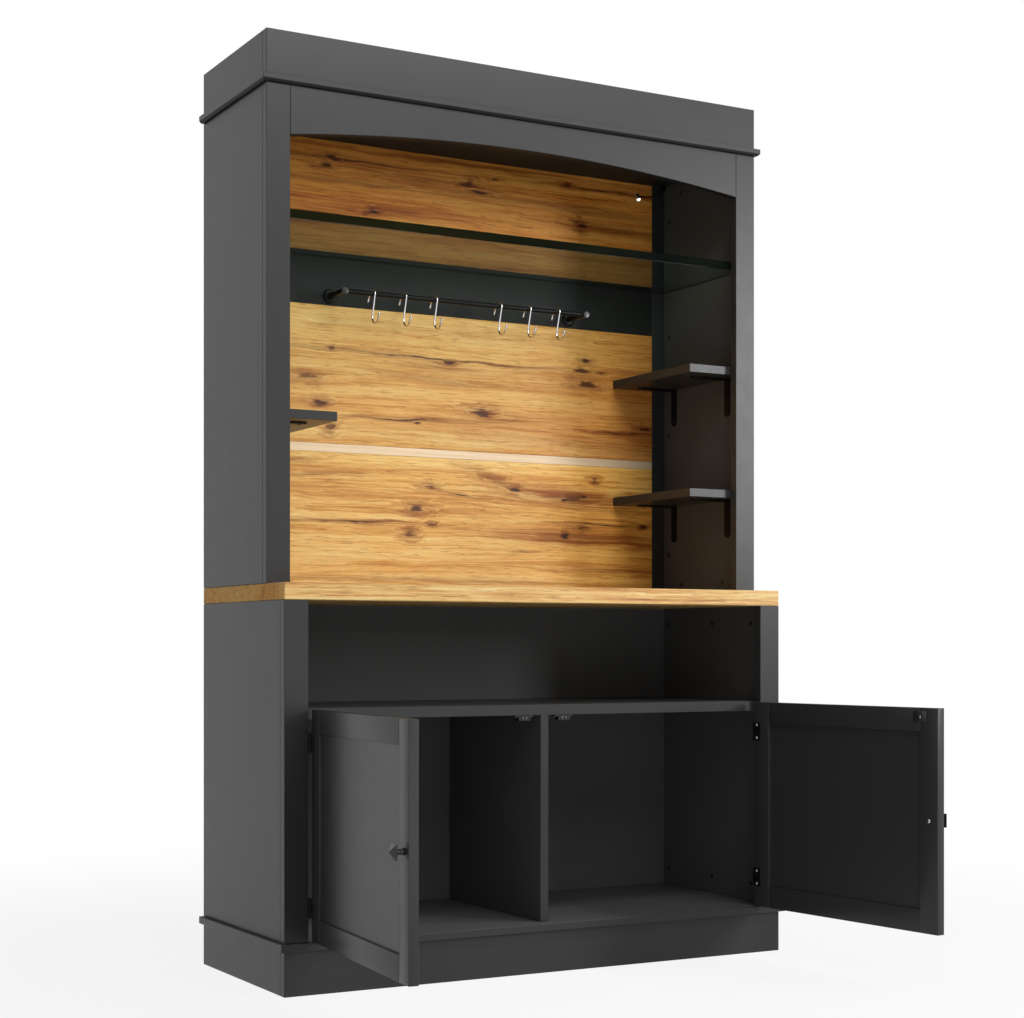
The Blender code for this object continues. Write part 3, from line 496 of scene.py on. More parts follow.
def oak_material(
    name, shift, drift, light_and_shade_tints, foot=0.0, cracks=(), knots=(), specular=OAK_SPECULAR, contrast=1.0
):
    """Oiled rustic oak with the grain along X: bands, streaks, fibres, pores, cracks, knots.

    The shift picks a stretch of the grain; the drift and the tints give the tone at the left and right ends,
    and paint light and shade along the board.
    """
    material, tree, shader = new_material(name)
    place = object_place(tree)
    own = shifted(tree, place, shift)
    slow = noise(tree, own, (1.6, 7.0, 7.0), 2)
    bend = remap(tree, slow, 0.2, 0.8, -GRAIN_BEND, GRAIN_BEND)
    ripple = noise(tree, own, (9, 30, 30), 3)
    wave = remap(tree, ripple, 0.2, 0.8, -GRAIN_WAVE, GRAIN_WAVE)
    sway = calc(tree, "ADD", bend, wave)
    flaw_place = shifted(tree, place, node(tree, "CombineXYZ", {0: wave, 2: sway}).outputs[0])
    core, halo = flaw_shares(tree, flaw_place, foot, cracks, knots)
    drifted = calc(tree, "MULTIPLY_ADD", wave, GRAIN_WAVE_SHARE, bend)
    lifted = calc(tree, "MULTIPLY_ADD", halo, FLAW_LIFT, drifted)
    grain = shifted(tree, own, node(tree, "CombineXYZ", {1: lifted, 2: lifted}).outputs[0])
    bands = noise(tree, grain, (0.7, 15, 15), 2)
    stripes = noise(tree, grain, (1.1, 48, 48), 3, 0.6)
    streaks = noise(tree, grain, (2.2, 135, 135), 4, 0.65)
    fibres = noise(tree, grain, (8, 310, 310), 3, 0.6)
    along_board = node(tree, "SeparateXYZ", {0: place}).outputs["X"]
    # The tone drifts from the left end to the right: painted light and shade along the board.
    tone = remap(tree, along_board, -INNER, INNER, OAK_TONE + drift[0], OAK_TONE + drift[1])
    for layer, weight in ((bands, 0.85), (stripes, 0.75), (streaks, 0.95), (fibres, 0.80)):
        tone = calc(tree, "MULTIPLY_ADD", calc(tree, "SUBTRACT", layer, 0.5), weight * contrast, tone)
    colour = ramp(tree, tone, [(0.0, OAK_DEEP), (0.3, OAK_MID), (0.55, OAK_PLAIN), (1.0, OAK_LIGHT)])
    pores = remap(tree, noise(tree, grain, (22, 420, 420), 2), 0.58, 0.70, 0, 0.50)
    flecks = remap(tree, noise(tree, grain, (5, 160, 160), 4, 0.68), 0.62, 0.74, 0, 0.85)
    dashes = calc(tree, "MAXIMUM", pores, flecks)
    colour = blend(tree, dashes, colour, OAK_RED)
    stain = calc(tree, "MULTIPLY", halo, remap(tree, streaks, 0.35, 0.65, 1.35, 0.35), clamp=True)
    stain = calc(tree, "MAXIMUM", stain, calc(tree, "MULTIPLY", core, 1.6, clamp=True))
    colour = blend(tree, stain, colour, OAK_RED)
    colour = blend(tree, core, colour, OAK_DARK)
    # From the turn on, the colour takes the right-end tint: painted light and shade.
    turn = remap(tree, along_board, PAINTED_LIGHT_TURN, INNER, 0, 1, "SMOOTHSTEP")
    painted_light_tint = blend(tree, turn, *light_and_shade_tints)
    colour = node(tree, "VectorMath", {0: colour, 1: painted_light_tint}, operation="MULTIPLY").outputs[0]
    plug(tree, shader.inputs["Base Color"], colour)
    shader.inputs["Specular IOR Level"].default_value = specular
    plug(tree, shader.inputs["Roughness"], remap(tree, streaks, *NOISE_SPAN, 0.56, 0.44))
    hollow = calc(tree, "ADD", dashes, core)
    height = calc(tree, "SUBTRACT", calc(tree, "MULTIPLY", fibres, 0.6), hollow)
    plug(tree, shader.inputs["Normal"], bump(tree, height, 0.00025))
    return material


def pale_material(name):
    """Pale oak edge strip: a light ground with faint straight fibres."""
    material, tree, shader = new_material(name)
    place = object_place(tree)
    streaks = noise(tree, place, (3.5, 160, 160), 3)
    fibres = noise(tree, place, (20, 640, 640), 2)
    tone = calc(tree, "MULTIPLY_ADD", fibres, 0.35, calc(tree, "MULTIPLY", streaks, 0.65))
    plug(tree, shader.inputs["Base Color"], two_tone(tree, tone, PALE_COLOURS))
    plug(tree, shader.inputs["Roughness"], remap(tree, streaks, *NOISE_SPAN, 0.52, 0.42))
    plug(tree, shader.inputs["Normal"], bump(tree, fibres, 0.0001))
    return material


def glass_material(name):
    """Thick green float glass; light from the lamps passes through it."""
    material, tree, shader = new_material(name)
    place = object_place(tree)
    shader.inputs["Base Color"].default_value = GLASS_COLOUR
    shader.inputs["Transmission Weight"].default_value = 1.0
    shader.inputs["IOR"].default_value = GLASS_IOR
    smears = noise(tree, place, (9, 9, 9), 4)
    plug(tree, shader.inputs["Roughness"], remap(tree, smears, 0.4, 0.8, 0.0, 0.012))
    waves = noise(tree, place, (5, 5, 5), 1)
    plug(tree, shader.inputs["Normal"], bump(tree, waves, 0.0001))
    clear = node(tree, "BsdfTransparent", {"Color": GLASS_SHADOW})
    path = node(tree, "LightPath")
    mixed = node(tree, "MixShader", {0: path.outputs["Is Shadow Ray"]})
    tree.links.new(shader.outputs[0], mixed.inputs[1])
    tree.links.new(clear.outputs[0], mixed.inputs[2])
    output = tree.nodes["Material Output"]
    tree.links.new(mixed.outputs[0], output.inputs["Surface"])
    depth = node(tree, "VolumeAbsorption", {"Color": GLASS_DEPTH_COLOUR, "Density": GLASS_DENSITY})
    tree.links.new(depth.outputs[0], output.inputs["Volume"])
    return material


def glass_edge_material(name):
    """The ground edge of thick green glass, slightly frosted: olive, turning deep green towards the right
    end as painted shade.
    """
    material, tree, shader = new_material(name)
    place = object_place(tree)
    clouds = noise(tree, place, (6, 30, 30), 3)
    frost = noise(tree, place, (700, 700, 700), 2)
    olive = two_tone(tree, clouds, EDGE_OLIVE)
    deep = two_tone(tree, clouds, EDGE_SHADED_GREEN)
    along_edge = node(tree, "SeparateXYZ", {0: place}).outputs["X"]
    # Deep green towards the right end: painted shade.
    turn = remap(tree, along_edge, *EDGE_SHADE_TURN, 0, 1)
    plug(tree, shader.inputs["Base Color"], blend(tree, turn, olive, deep))
    shader.inputs["Specular IOR Level"].default_value = EDGE_SPECULAR
    plug(tree, shader.inputs["Roughness"], remap(tree, frost, *NOISE_SPAN, 0.45, 0.60))
    plug(tree, shader.inputs["Normal"], bump(tree, frost, 0.00005))
    return material


def metal_material(name, colour, roughness, metallic, grain, specular):
    """Metal or plastic with a drifting tone, uneven gloss and a fine surface grain."""
    material, tree, shader = new_material(name)
    place = object_place(tree)
    drift = noise(tree, place, (40, 43, 37), 3)
    low = tuple(METAL_DARK * part for part in colour) + (1,)
    high = colour + (1,)
    plug(tree, shader.inputs["Base Color"], blend(tree, drift, low, high))
    shader.inputs["Metallic"].default_value = metallic
    shader.inputs["Specular IOR Level"].default_value = specular
    gloss = noise(tree, place, (210, 190, 170), 3)
    smooth, dull = (1 - METAL_GLOSS_SPREAD) * roughness, (1 + METAL_GLOSS_SPREAD) * roughness
    spread = remap(tree, gloss, *NOISE_SPAN, smooth, dull)
    plug(tree, shader.inputs["Roughness"], spread)
    fine = noise(tree, place, (1500, 1600, 1400), 2)
    plug(tree, shader.inputs["Normal"], bump(tree, fine, grain))
    return material


def backing_material(name):
    """The unfinished rear of the back boards: brown hardboard with a felted surface."""
    material, tree, shader = new_material(name)
    place = object_place(tree)
    clouds = noise(tree, place, (7, 7, 7), 4)
    specks = noise(tree, place, (310, 310, 290), 3)
    tone = calc(tree, "MULTIPLY_ADD", specks, 0.5, calc(tree, "MULTIPLY", clouds, 0.5))
    plug(tree, shader.inputs["Base Color"], two_tone(tree, tone, BACKING_COLOURS))
    plug(tree, shader.inputs["Roughness"], remap(tree, specks, *NOISE_SPAN, 0.70, 0.85))
    plug(tree, shader.inputs["Normal"], bump(tree, specks, 0.0002))
    return material


def lens_material(name):
    """The lit lens of the lamp, with an uneven frosted glow."""
    material, tree, shader = new_material(name)
    place = object_place(tree)
    frost = noise(tree, place, (900, 900, 900), 2)
    shader.inputs["Base Color"].default_value = LENS_COLOUR
    shader.inputs["Emission Color"].default_value = LENS_GLOW
    glow = remap(tree, frost, 0.2, 0.8, *LENS_STRENGTH)
    plug(tree, shader.inputs["Emission Strength"], glow)
    plug(tree, shader.inputs["Roughness"], remap(tree, frost, *NOISE_SPAN, 0.15, 0.30))
    return material


def build_materials():
    """Every finish by name."""
    feet = {name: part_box(f"back_{name}_panel")[0].z for name in ("lower", "middle", "upper")}
    # Each oak's drift and tints paint light and shade: a sheen at the worktop's right end, light on its end
    # faces, and light and shade along the back panels.
    finishes = {
        "worktop": oak_material(
            "oak_worktop", shift=(3.1, 0.4, 0.2), drift=(-0.04, 0.08), light_and_shade_tints=WORKTOP_TONE_AND_SHEEN_TINTS,
            specular=WORKTOP_SPECULAR, contrast=1.4,
        ),
        "worktop_end": oak_material(
            "oak_worktop_end", shift=(3.1, 0.4, 0.2), drift=(0.05, 0.05), light_and_shade_tints=END_FACE_LIGHT_TINTS,
            specular=END_SPECULAR,
        ),
        "lower": oak_material(
            "oak_lower", shift=(0.0, 0.0, 0.0), drift=(0.12, -0.04), light_and_shade_tints=LOWER_TONE_AND_LIGHT_TINTS,
            foot=feet["lower"], cracks=LOWER_CRACKS_AND_FOOT_SHADE, knots=LOWER_KNOTS, contrast=1.15,
        ),
        "middle": oak_material(
            "oak_middle", shift=(7.3, 0.0, 1.7), drift=(0.04, -0.12), light_and_shade_tints=MIDDLE_TONE_AND_SHADE_TINTS,
            foot=feet["middle"], cracks=MIDDLE_CRACKS, knots=MIDDLE_KNOTS,
        ),
        "upper": oak_material(
            "oak_upper", shift=(4.7, 0.0, 5.1), drift=(0.0, 0.12), light_and_shade_tints=UPPER_SHADE_AND_LIGHT_TINTS,
            foot=feet["upper"], cracks=UPPER_CRACKS, knots=UPPER_KNOTS, contrast=1.8,
        ),
        "pale": pale_material("pale_oak_strip"),
        "glass": glass_material("green_glass"),
        "glass_edge": glass_edge_material("ground_glass_edge"),
        "backing": backing_material("hardboard_backing"),
        "lens": lens_material("lamp_lens"),
    }
    for key, look in PAINTS.items():
        finishes[key] = paint_material(*look)
    for key, look in METALS.items():
        finishes[key] = metal_material(*look)
    return finishes


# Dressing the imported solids

def dress(name, material, spot_material=None, spot=None):
    """Give a solid its finish, and another to the faces that a test picks."""
    mesh = NODES[name].data
    mesh.materials.clear()
    mesh.materials.append(material)
    if spot_material is None:
        return
    mesh.materials.append(spot_material)
    for face in mesh.polygons:
        face.material_index = 1 if spot(face) else 0


def dress_solids(finishes):
    """Each solid's finish by its slot in the record, with its own wood and metal spots."""
    paint, black, backing = finishes["paint"], finishes["black"], finishes["backing"]
    plain = {
        "anthracite_paint": paint, "black_metal": black, "chrome": finishes["chrome"],
        "glass": finishes["glass"], "black_plastic": finishes["plastic"],
    }
    for name, obj in NODES.items():
        slot = obj.data.materials[0].name
        if slot in plain:
            dress(name, plain[slot])
    worktop_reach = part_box("worktop")[1].x - FIT

    def on_worktop_end(face):
        return abs(face.center.x) > worktop_reach

    # The worktop's end faces take their own oak with lighter, warmer tints: painted light.
    dress("worktop", finishes["worktop"], finishes["worktop_end"], on_worktop_end)
    glass_low, glass_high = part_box("glass_shelf")

    def on_glass_edge(face):
        return glass_low.z + GLASS_EDGE < face.center.z < glass_high.z - GLASS_EDGE

    dress("glass_shelf", finishes["glass"], finishes["glass_edge"], on_glass_edge)

    def at_rear(face):
        return face.center.y > REAR - FIT

    for panel in ("lower", "middle", "upper"):
        dress(f"back_{panel}_panel", finishes[panel], backing, at_rear)
    dress("back_light_strip", finishes["pale"], backing, at_rear)
    for name in ("back_left_strip", "back_right_strip"):
        dress(name, paint, backing, at_rear)
    # The base's back takes the lighter inside paint: painted light.
    dress("base_back", finishes["inside"], backing, at_rear)
    dress("back_hook_board", finishes["board"], backing, at_rear)

    def looks_down(face):
        return face.normal.z < -0.5

    # Down-facing faces of the valance and the top take the darker board paint: painted shade.
    for name in ("arched_valance", "hutch_top"):
        dress(name, paint, finishes["board"], looks_down)
    # The inner faces of the sides and the divider take the lighter inside paint: painted light.
    for name in ("base_left_side", "base_right_side", "base_divider", "hutch_left_side", "hutch_right_side"):
        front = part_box(name)[0].y + FIT
        dress(
            name, paint, finishes["inside"],
            lambda face: abs(face.center.x) < INNER + FIT and face.center.y > front,
        )
    # The top of the base's bottom takes the lighter inside paint: painted light.
    bottom_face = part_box("base_bottom")[1].z
    dress("base_bottom", paint, finishes["inside"], lambda face: face.center.z > bottom_face - FIT)
    # The niche shelf's underside takes the lighter inside paint: painted light.
    dress("niche_shelf", paint, finishes["inside"], looks_down)

    def on_hinge(face):
        return face.center.y < BASE_FRONT - FIT or abs(face.center.x) < JAMB - FIT

    for word in SIDES:
        dress(f"base_{word}_pilaster", paint, black, on_hinge)


# Pieces

def finish_piece(name, bm, material, body):
    """Turn a bmesh into a piece that rides on a body."""
    bmesh.ops.recalc_face_normals(bm, faces=bm.faces)
    mesh = bpy.data.meshes.new(name)
    bm.to_mesh(mesh)
    bm.free()
    mesh.materials.append(material)
    mesh.shade_smooth()
    mesh.set_sharp_from_angle(angle=SHARP_ANGLE)
    obj = bpy.data.objects.new(name, mesh)
    bpy.context.collection.objects.link(obj)
    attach(obj, body)
    return obj


def add_turned(bm, profile, place, steps=ROUND_STEPS):
    """Add a closed body turned round Z and then placed; the profile gives (along, radius)."""
    turns = [math.tau * step / steps for step in range(steps)]
    loops = []
    for level, radius in profile:
        spots = [Vector((radius * math.cos(turn), radius * math.sin(turn), level)) for turn in turns]
        loops.append([bm.verts.new(place @ spot) for spot in spots])
    add_skin(bm, loops)


def add_skin(bm, loops):
    """Join rings of points one after another and close both ends."""
    steps = len(loops[0])
    for before, after in zip(loops, loops[1:]):
        for step in range(steps):
            following = (step + 1) % steps
            bm.faces.new((before[step], before[following], after[following], after[step]))
    bm.faces.new(loops[0][::-1])
    bm.faces.new(loops[-1])


def facing(point, direction):
    """A placement whose own Z axis points along a direction."""
    turn = Vector((0, 0, 1)).rotation_difference(Vector(direction)).to_matrix().to_4x4()
    return Matrix.Translation(point) @ turn


def add_block(bm, low, high, place=None, edge=0.0, steps=BEVEL_STEPS):
    """Add a block between two corners, with rounded edges."""
    low, high = Vector(low), Vector(high)
    made = bmesh.ops.create_cube(bm, size=1.0)["verts"]
    bmesh.ops.scale(bm, vec=high - low, verts=made)
    bmesh.ops.translate(bm, vec=(low + high) / 2, verts=made)
    if place is not None:
        bmesh.ops.transform(bm, matrix=place, verts=made)
    if edge:
        edges = list({item for vert in made for item in vert.link_edges})
        bmesh.ops.bevel(bm, geom=edges, offset=edge, segments=steps, profile=0.5, affect="EDGES")


def add_wire(bm, points, radius, steps=WIRE_STEPS):
    """Add a round wire along a line of points, with domed ends."""
    points = [Vector(point) for point in points]
    side = Vector((1, 0, 0))
    rings = []
    for index, point in enumerate(points):
        ahead = points[min(index + 1, len(points) - 1)] - points[max(index - 1, 0)]
        ahead.normalize()
        side = (side - ahead * side.dot(ahead)).normalized()
        up = ahead.cross(side)
        rings.append((point, ahead, side, up, radius))
    first, last = rings[0], rings[-1]
    domes = [(radius * math.cos(turn), radius * math.sin(turn)) for turn in DOME_TURNS]
    head = [(first[0] - first[1] * out, *first[1:4], wide) for out, wide in domes]
    tail = [(last[0] + last[1] * out, *last[1:4], wide) for out, wide in domes[::-1]]
    turns = [math.tau * step / steps for step in range(steps)]
    loops = []
    for point, _, side, up, wide in head + rings + tail:
        loops.append([bm.verts.new(point + (side * math.cos(t) + up * math.sin(t)) * wide) for t in turns])
    add_skin(bm, loops)


def add_screw(bm, point, direction, radius, height):
    """Add a domed screw head with a cross recess."""
    place = facing(point, direction)
    turns = [math.tau * step / SCREW_STEPS for step in range(SCREW_STEPS)]
    loops = []
    for level, wide in SCREW_PROFILE:
        spots = [Vector((math.cos(t) * wide, math.sin(t) * wide, 0)) * radius for t in turns]
        loops.append([bm.verts.new(place @ (spot + Vector((0, 0, level * height)))) for spot in spots])
    recess = []
    for step, turn in enumerate(turns):
        deep, wide = RECESS_ARM if step % 4 == 0 else RECESS_CORNER
        spot = Vector((math.cos(turn) * wide * radius, math.sin(turn) * wide * radius, deep * height))
        recess.append(bm.verts.new(place @ spot))
    add_skin(bm, loops + [recess])


def door_place(side):
    """The placement of a door's own frame as the door stands open."""
    return Matrix.Translation((side * HINGE_X, HINGE_Y, 0)) @ Matrix.Rotation(side * DOOR_OPENING, 4, "Z")


def along(side, near, far):
    """The x range between two distances from the hinge axis, in a door's own frame."""
    return min(-side * near, -side * far), max(-side * near, -side * far)


def build_door_boards(word, side, finishes):
    """A door frame of two stiles and two rails, with fine seams where they are jointed."""
    bm = bmesh.new()
    start, end, seam = DOOR_START, DOOR_END, DOOR_SEAM / 2
    rail = (start + DOOR_STILE + seam, end - DOOR_STILE - seam)
    boards = [
        (start, start + DOOR_STILE - seam, DOOR_FOOT, DOOR_HEAD),
        (end - DOOR_STILE + seam, end, DOOR_FOOT, DOOR_HEAD),
        (*rail, DOOR_FOOT, DOOR_FOOT + DOOR_RAIL),
        (*rail, DOOR_HEAD - DOOR_RAIL, DOOR_HEAD),
    ]
    for near, far, foot, head in boards:
        x_low, x_high = along(side, near, far)
        add_block(bm, (x_low, DOOR_FACE, foot), (x_high, DOOR_BACK, head), door_place(side), DOOR_EDGE)
    piece = finish_piece(f"{word}_door_boards", bm, finishes["paint"], f"{word}_door")
    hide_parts(f"{word}_door_frame")


def on_door(side, distance, depth, level):
    """A point on a door as it stands open: along it from the hinge, back from the axis, up."""
    return door_place(side) @ Vector((-side * distance, depth, level))


def build_door_fittings(word, side, finishes):
    """What a door carries: hinge screws, the strike plate and its screw, and the knob's screw."""
    inwards = door_place(side).to_3x3() @ Vector((0, 1, 0))
    screws = bmesh.new()
    for level in (DOOR_HEAD - HINGE_INSET, DOOR_FOOT + HINGE_INSET):
        for offset in (-HINGE_SCREW_SPREAD, HINGE_SCREW_SPREAD):
            spot = on_door(side, HINGE_SCREW_PLACE, HINGE_PLATE_FACE - FIT, level + offset)
            add_screw(screws, spot, inwards, *HINGE_SCREW_HEAD)
    strike_face = DOOR_BACK + STRIKE_THICKNESS
    sunk = on_door(side, STRIKE_SCREW[0], strike_face - STRIKE_SCREW_SINK, STRIKE_SCREW[1])
    add_screw(screws, sunk, inwards, *STRIKE_SCREW_HEAD)
    behind_knob = on_door(side, DOOR_END - KNOB_INSET, DOOR_BACK, KNOB_LEVEL)
    add_screw(screws, behind_knob, inwards, *KNOB_SCREW_HEAD)
    finish_piece(f"{word}_door_screws", screws, finishes["steel"], f"{word}_door")

    plate = bmesh.new()
    (near, far), (low, high) = STRIKE_PLATE
    lip_face = strike_face + STRIKE_LIP_RISE
    for start, face in ((near, strike_face), (far - STRIKE_LIP_WIDTH, lip_face)):
        x_low, x_high = along(side, start, far)
        corners = (x_low, DOOR_BACK, low), (x_high, face, high)
        add_block(plate, *corners, door_place(side), STRIKE_EDGE, SMALL_BEVEL_STEPS)
    finish_piece(f"{word}_strike_plate", plate, finishes["dull_steel"], f"{word}_door")


def build_knob(word, side, finishes):
    """A turned stem with a collar and a square pyramid head with softened edges."""
    bm = bmesh.new()
    foot = on_door(side, DOOR_END - KNOB_INSET, DOOR_FACE - FIT, KNOB_LEVEL)
    outwards = door_place(side).to_3x3() @ Vector((0, -1, 0))
    add_turned(bm, KNOB_STEM_PROFILE, facing(foot, outwards))
    stem_foot = (-side * (DOOR_END - KNOB_INSET), DOOR_FACE - FIT, KNOB_LEVEL)
    place = door_place(side) @ Matrix.Translation(stem_foot)
    half = KNOB_HEAD / 2
    rings = [(0, half - KNOB_RIM_EDGE), (KNOB_RIM_EDGE, half), (KNOB_RIM, half), (KNOB_LENGTH, KNOB_TIP)]
    loops = []
    for level, reach in rings:
        corners = [(-reach, -reach), (reach, -reach), (reach, reach), (-reach, reach)]
        loops.append([bm.verts.new(place @ Vector((x, -KNOB_STEM - level, z))) for x, z in corners])
    add_skin(bm, loops)
    piece = finish_piece(f"{word}_door_knob", bm, finishes["knob"], f"{word}_door")
    soften = piece.modifiers.new("softened edges", "BEVEL")
    soften.width = KNOB_SOFTENING
    soften.segments = SMALL_BEVEL_STEPS
    soften.angle_limit = KNOB_SOFTENED_ANGLE
    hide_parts(f"{word}_knob")


def hook_line(steps=HOOK_STEPS):
    """The line of an S-hook round the axis of the bar: rear arc, bar, shank, loop and tip."""
    round_bar = BAR_RADIUS + WIRE_RADIUS + FIT
    points = []
    for step in range(steps):
        angle = HOOK_REAR_SWEEP * (1 - step / steps)
        sag = HOOK_REAR_RADIUS * (math.cos(angle) - 1)
        points.append(Vector((0, HOOK_REAR_RADIUS * math.sin(angle), round_bar + sag)))
    for step in range(steps + 1):
        angle = (math.pi / 2 + HOOK_SHANK_LEAN) * step / steps
        points.append(Vector((0, -round_bar * math.sin(angle), round_bar * math.cos(angle))))
    lean = Vector((0, math.cos(HOOK_SHANK_LEAN), math.sin(HOOK_SHANK_LEAN)))
    down = Vector((0, math.sin(HOOK_SHANK_LEAN), -math.cos(HOOK_SHANK_LEAN)))
    centre = points[-1] + down * HOOK_SHANK_LENGTH - lean * HOOK_LOOP_RADIUS
    sweep = math.pi + HOOK_SHANK_LEAN - HOOK_TIP_LEAN
    for step in range(2 * steps + 1):
        angle = HOOK_SHANK_LEAN - sweep * step / (2 * steps)
        points.append(centre + HOOK_LOOP_RADIUS * Vector((0, math.cos(angle), math.sin(angle))))
    tip = Vector((0, -math.sin(HOOK_TIP_LEAN), math.cos(HOOK_TIP_LEAN)))
    points.append(points[-1] + tip * HOOK_TIP_LENGTH)
    return points


def build_hooks(finishes):
    """The six chromed S-hooks, each on its own body."""
    for number in range(1, HOOK_COUNT + 1):
        bm = bmesh.new()
        axis = Vector(JOINTS[f"hook_{number}_swing"]["pos_m"])
        add_wire(bm, [axis + point for point in hook_line()], WIRE_RADIUS)
        piece = finish_piece(f"chrome_hook_{number}", bm, finishes["chrome"], f"hook_{number}")
        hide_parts(f"s_hook_{number}")


def build_rail(finishes):
    """The hook rail: a bar, two posts on rosettes, and the posts' grey end caps."""
    rail, caps = bmesh.new(), bmesh.new()
    length = BACK_FACE - FIT - BAR_Y + POST_END
    bar = [
        (0, BAR_END_RADIUS), (BAR_END_EDGE, BAR_RADIUS),
        (RAIL_SPAN - BAR_END_EDGE, BAR_RADIUS), (RAIL_SPAN, BAR_END_RADIUS),
    ]
    add_turned(rail, bar, facing((-RAIL_SPAN / 2, BAR_Y, BAR_Z), (1, 0, 0)))
    back = length - CAP_LENGTH
    post = [(0, ROSETTE_RADIUS - ROSETTE_EDGE), (ROSETTE_EDGE, ROSETTE_RADIUS)]
    post += [(ROSETTE_THICKNESS - deep, ROSETTE_RADIUS - cut) for deep, cut in ROSETTE_ROUND]
    post += [
        (ROSETTE_THICKNESS, POST_RADIUS + POST_FILLET),
        (ROSETTE_THICKNESS + POST_FILLET, POST_RADIUS), (back, POST_RADIUS),
    ]
    cap = [(back, POST_RADIUS), (back, CAP_RADIUS - CAP_EDGE), (back + CAP_EDGE, CAP_RADIUS)]
    cap += [(length - deep, CAP_RADIUS - cut) for deep, cut in CAP_ROUND]
    cap += [(length, CAP_CENTRE)]
    for side in SIDES.values():
        place = facing((side * RAIL_SPAN / 2, BACK_FACE - FIT, BAR_Z), (0, -1, 0))
        add_turned(rail, post, place)
        add_turned(caps, cap, place)
    piece = finish_piece("hook_rail_bar", rail, finishes["black"], "cabinet")
    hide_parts("hook_rail")
    finish_piece("hook_rail_caps", caps, finishes["pewter"], "cabinet")


def build_cam_covers(finishes):
    """Small dished covers over the fixings in the side panels."""
    bm = bmesh.new()
    for side in SIDES.values():
        for y, z in CAM_PLACES:
            add_turned(bm, CAM_PROFILE, facing((side * INNER, y, z), (-side, 0, 0)), CAM_STEPS)
    finish_piece("cam_covers", bm, finishes["plastic"], "cabinet")


def build_bracket_screws(finishes):
    """Two screws in each bracket's leg and two bolts under its arm."""
    bm = bmesh.new()
    for shelf, side in (("left", -1), ("right_upper", 1), ("right_lower", 1)):
        for place in ("front", "rear"):
            low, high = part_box(f"{shelf}_{place}_bracket")
            y = (low.y + high.y) / 2
            wall = high.x if side > 0 else low.x
            face = wall - side * BRACKET_THICKNESS
            for level in (high.z - BRACKET_SCREW_DROP, low.z + BRACKET_SCREW_RISE):
                add_screw(bm, (face, y, level), (-side, 0, 0), *BRACKET_SCREW_HEAD)
            for reach in BRACKET_BOLT_REACHES:
                under_arm = (wall - side * reach, y, high.z - BRACKET_THICKNESS)
                add_screw(bm, under_arm, (0, 0, -1), *BRACKET_BOLT_HEAD)
    finish_piece("bracket_screws", bm, finishes["black"], "cabinet")


def build_catch_fittings(finishes):
    """The steel pole plates at the front of each magnetic catch, and its two screws."""
    poles, screws = bmesh.new(), bmesh.new()
    for word in SIDES:
        low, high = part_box(f"{word}_magnetic_catch")
        middle = (low.x + high.x) / 2
        for x in (middle - POLE_OFFSET, middle + POLE_OFFSET):
            corner = (x - POLE_HALF_WIDTH, low.y - POLE_FRONT, low.z + POLE_FOOT)
            opposite = (x + POLE_HALF_WIDTH, low.y + POLE_DEPTH, high.z - POLE_HEAD)
            add_block(poles, corner, opposite, None, POLE_EDGE, SMALL_BEVEL_STEPS)
        for x in (middle - CATCH_SCREW_OFFSET, middle + CATCH_SCREW_OFFSET):
            under_ear = (x, (low.y + high.y) / 2, high.z - CATCH_EAR)
            add_screw(screws, under_ear, (0, 0, -1), *CATCH_SCREW_HEAD)
    finish_piece("catch_poles", poles, finishes["dull_steel"], "cabinet")
    finish_piece("catch_screws", screws, finishes["steel"], "cabinet")


def build_lamp(finishes):
    """The corner lamp: its block, a thin bent neck, a small spot head and a lit lens."""
    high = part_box("corner_lamp")[1]
    block_low = high - Vector(LAMP_BLOCK)
    bm = bmesh.new()
    add_block(bm, block_low, high, None, LAMP_EDGE)
    start = (block_low + high) / 2
    reach = high - Vector(LAMP_HEAD_PLACE) - start
    outwards, upwards = Vector((reach.x, reach.y, 0)), Vector((0, 0, reach.z))
    points = []
    for step in range(LAMP_NECK_STEPS + 1):
        turn = math.pi / 2 * step / LAMP_NECK_STEPS
        points.append(start + outwards * (1 - math.cos(turn)) + upwards * math.sin(turn))
    add_wire(bm, points, LAMP_NECK_RADIUS, LAMP_NECK_SIDES)
    piece = finish_piece("corner_spot", bm, finishes["black"], "cabinet")
    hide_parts("corner_lamp")

    place = facing(points[-1], Vector(LAMP_TILT).normalized())
    spot, lens = bmesh.new(), bmesh.new()
    add_turned(spot, LAMP_HEAD_PROFILE, place, LAMP_HEAD_SIDES)
    finish_piece("corner_spot_head", spot, finishes["chrome"], "cabinet")
    add_turned(lens, LAMP_LENS_PROFILE, place, LAMP_HEAD_SIDES)
    add_turned(lens, LAMP_TAIL_PROFILE, place, LAMP_TAIL_SIDES)
    finish_piece("corner_spot_lens", lens, finishes["lens"], "cabinet")


def main():
    """Dress the solids and add every piece."""
    finishes = build_materials()
    dress_solids(finishes)
    for word, side in SIDES.items():
        build_door_boards(word, side, finishes)
        build_door_fittings(word, side, finishes)
        build_knob(word, side, finishes)
    build_hooks(finishes)
    build_rail(finishes)
    build_cam_covers(finishes)
    build_bracket_screws(finishes)
    build_catch_fittings(finishes)
    build_lamp(finishes)


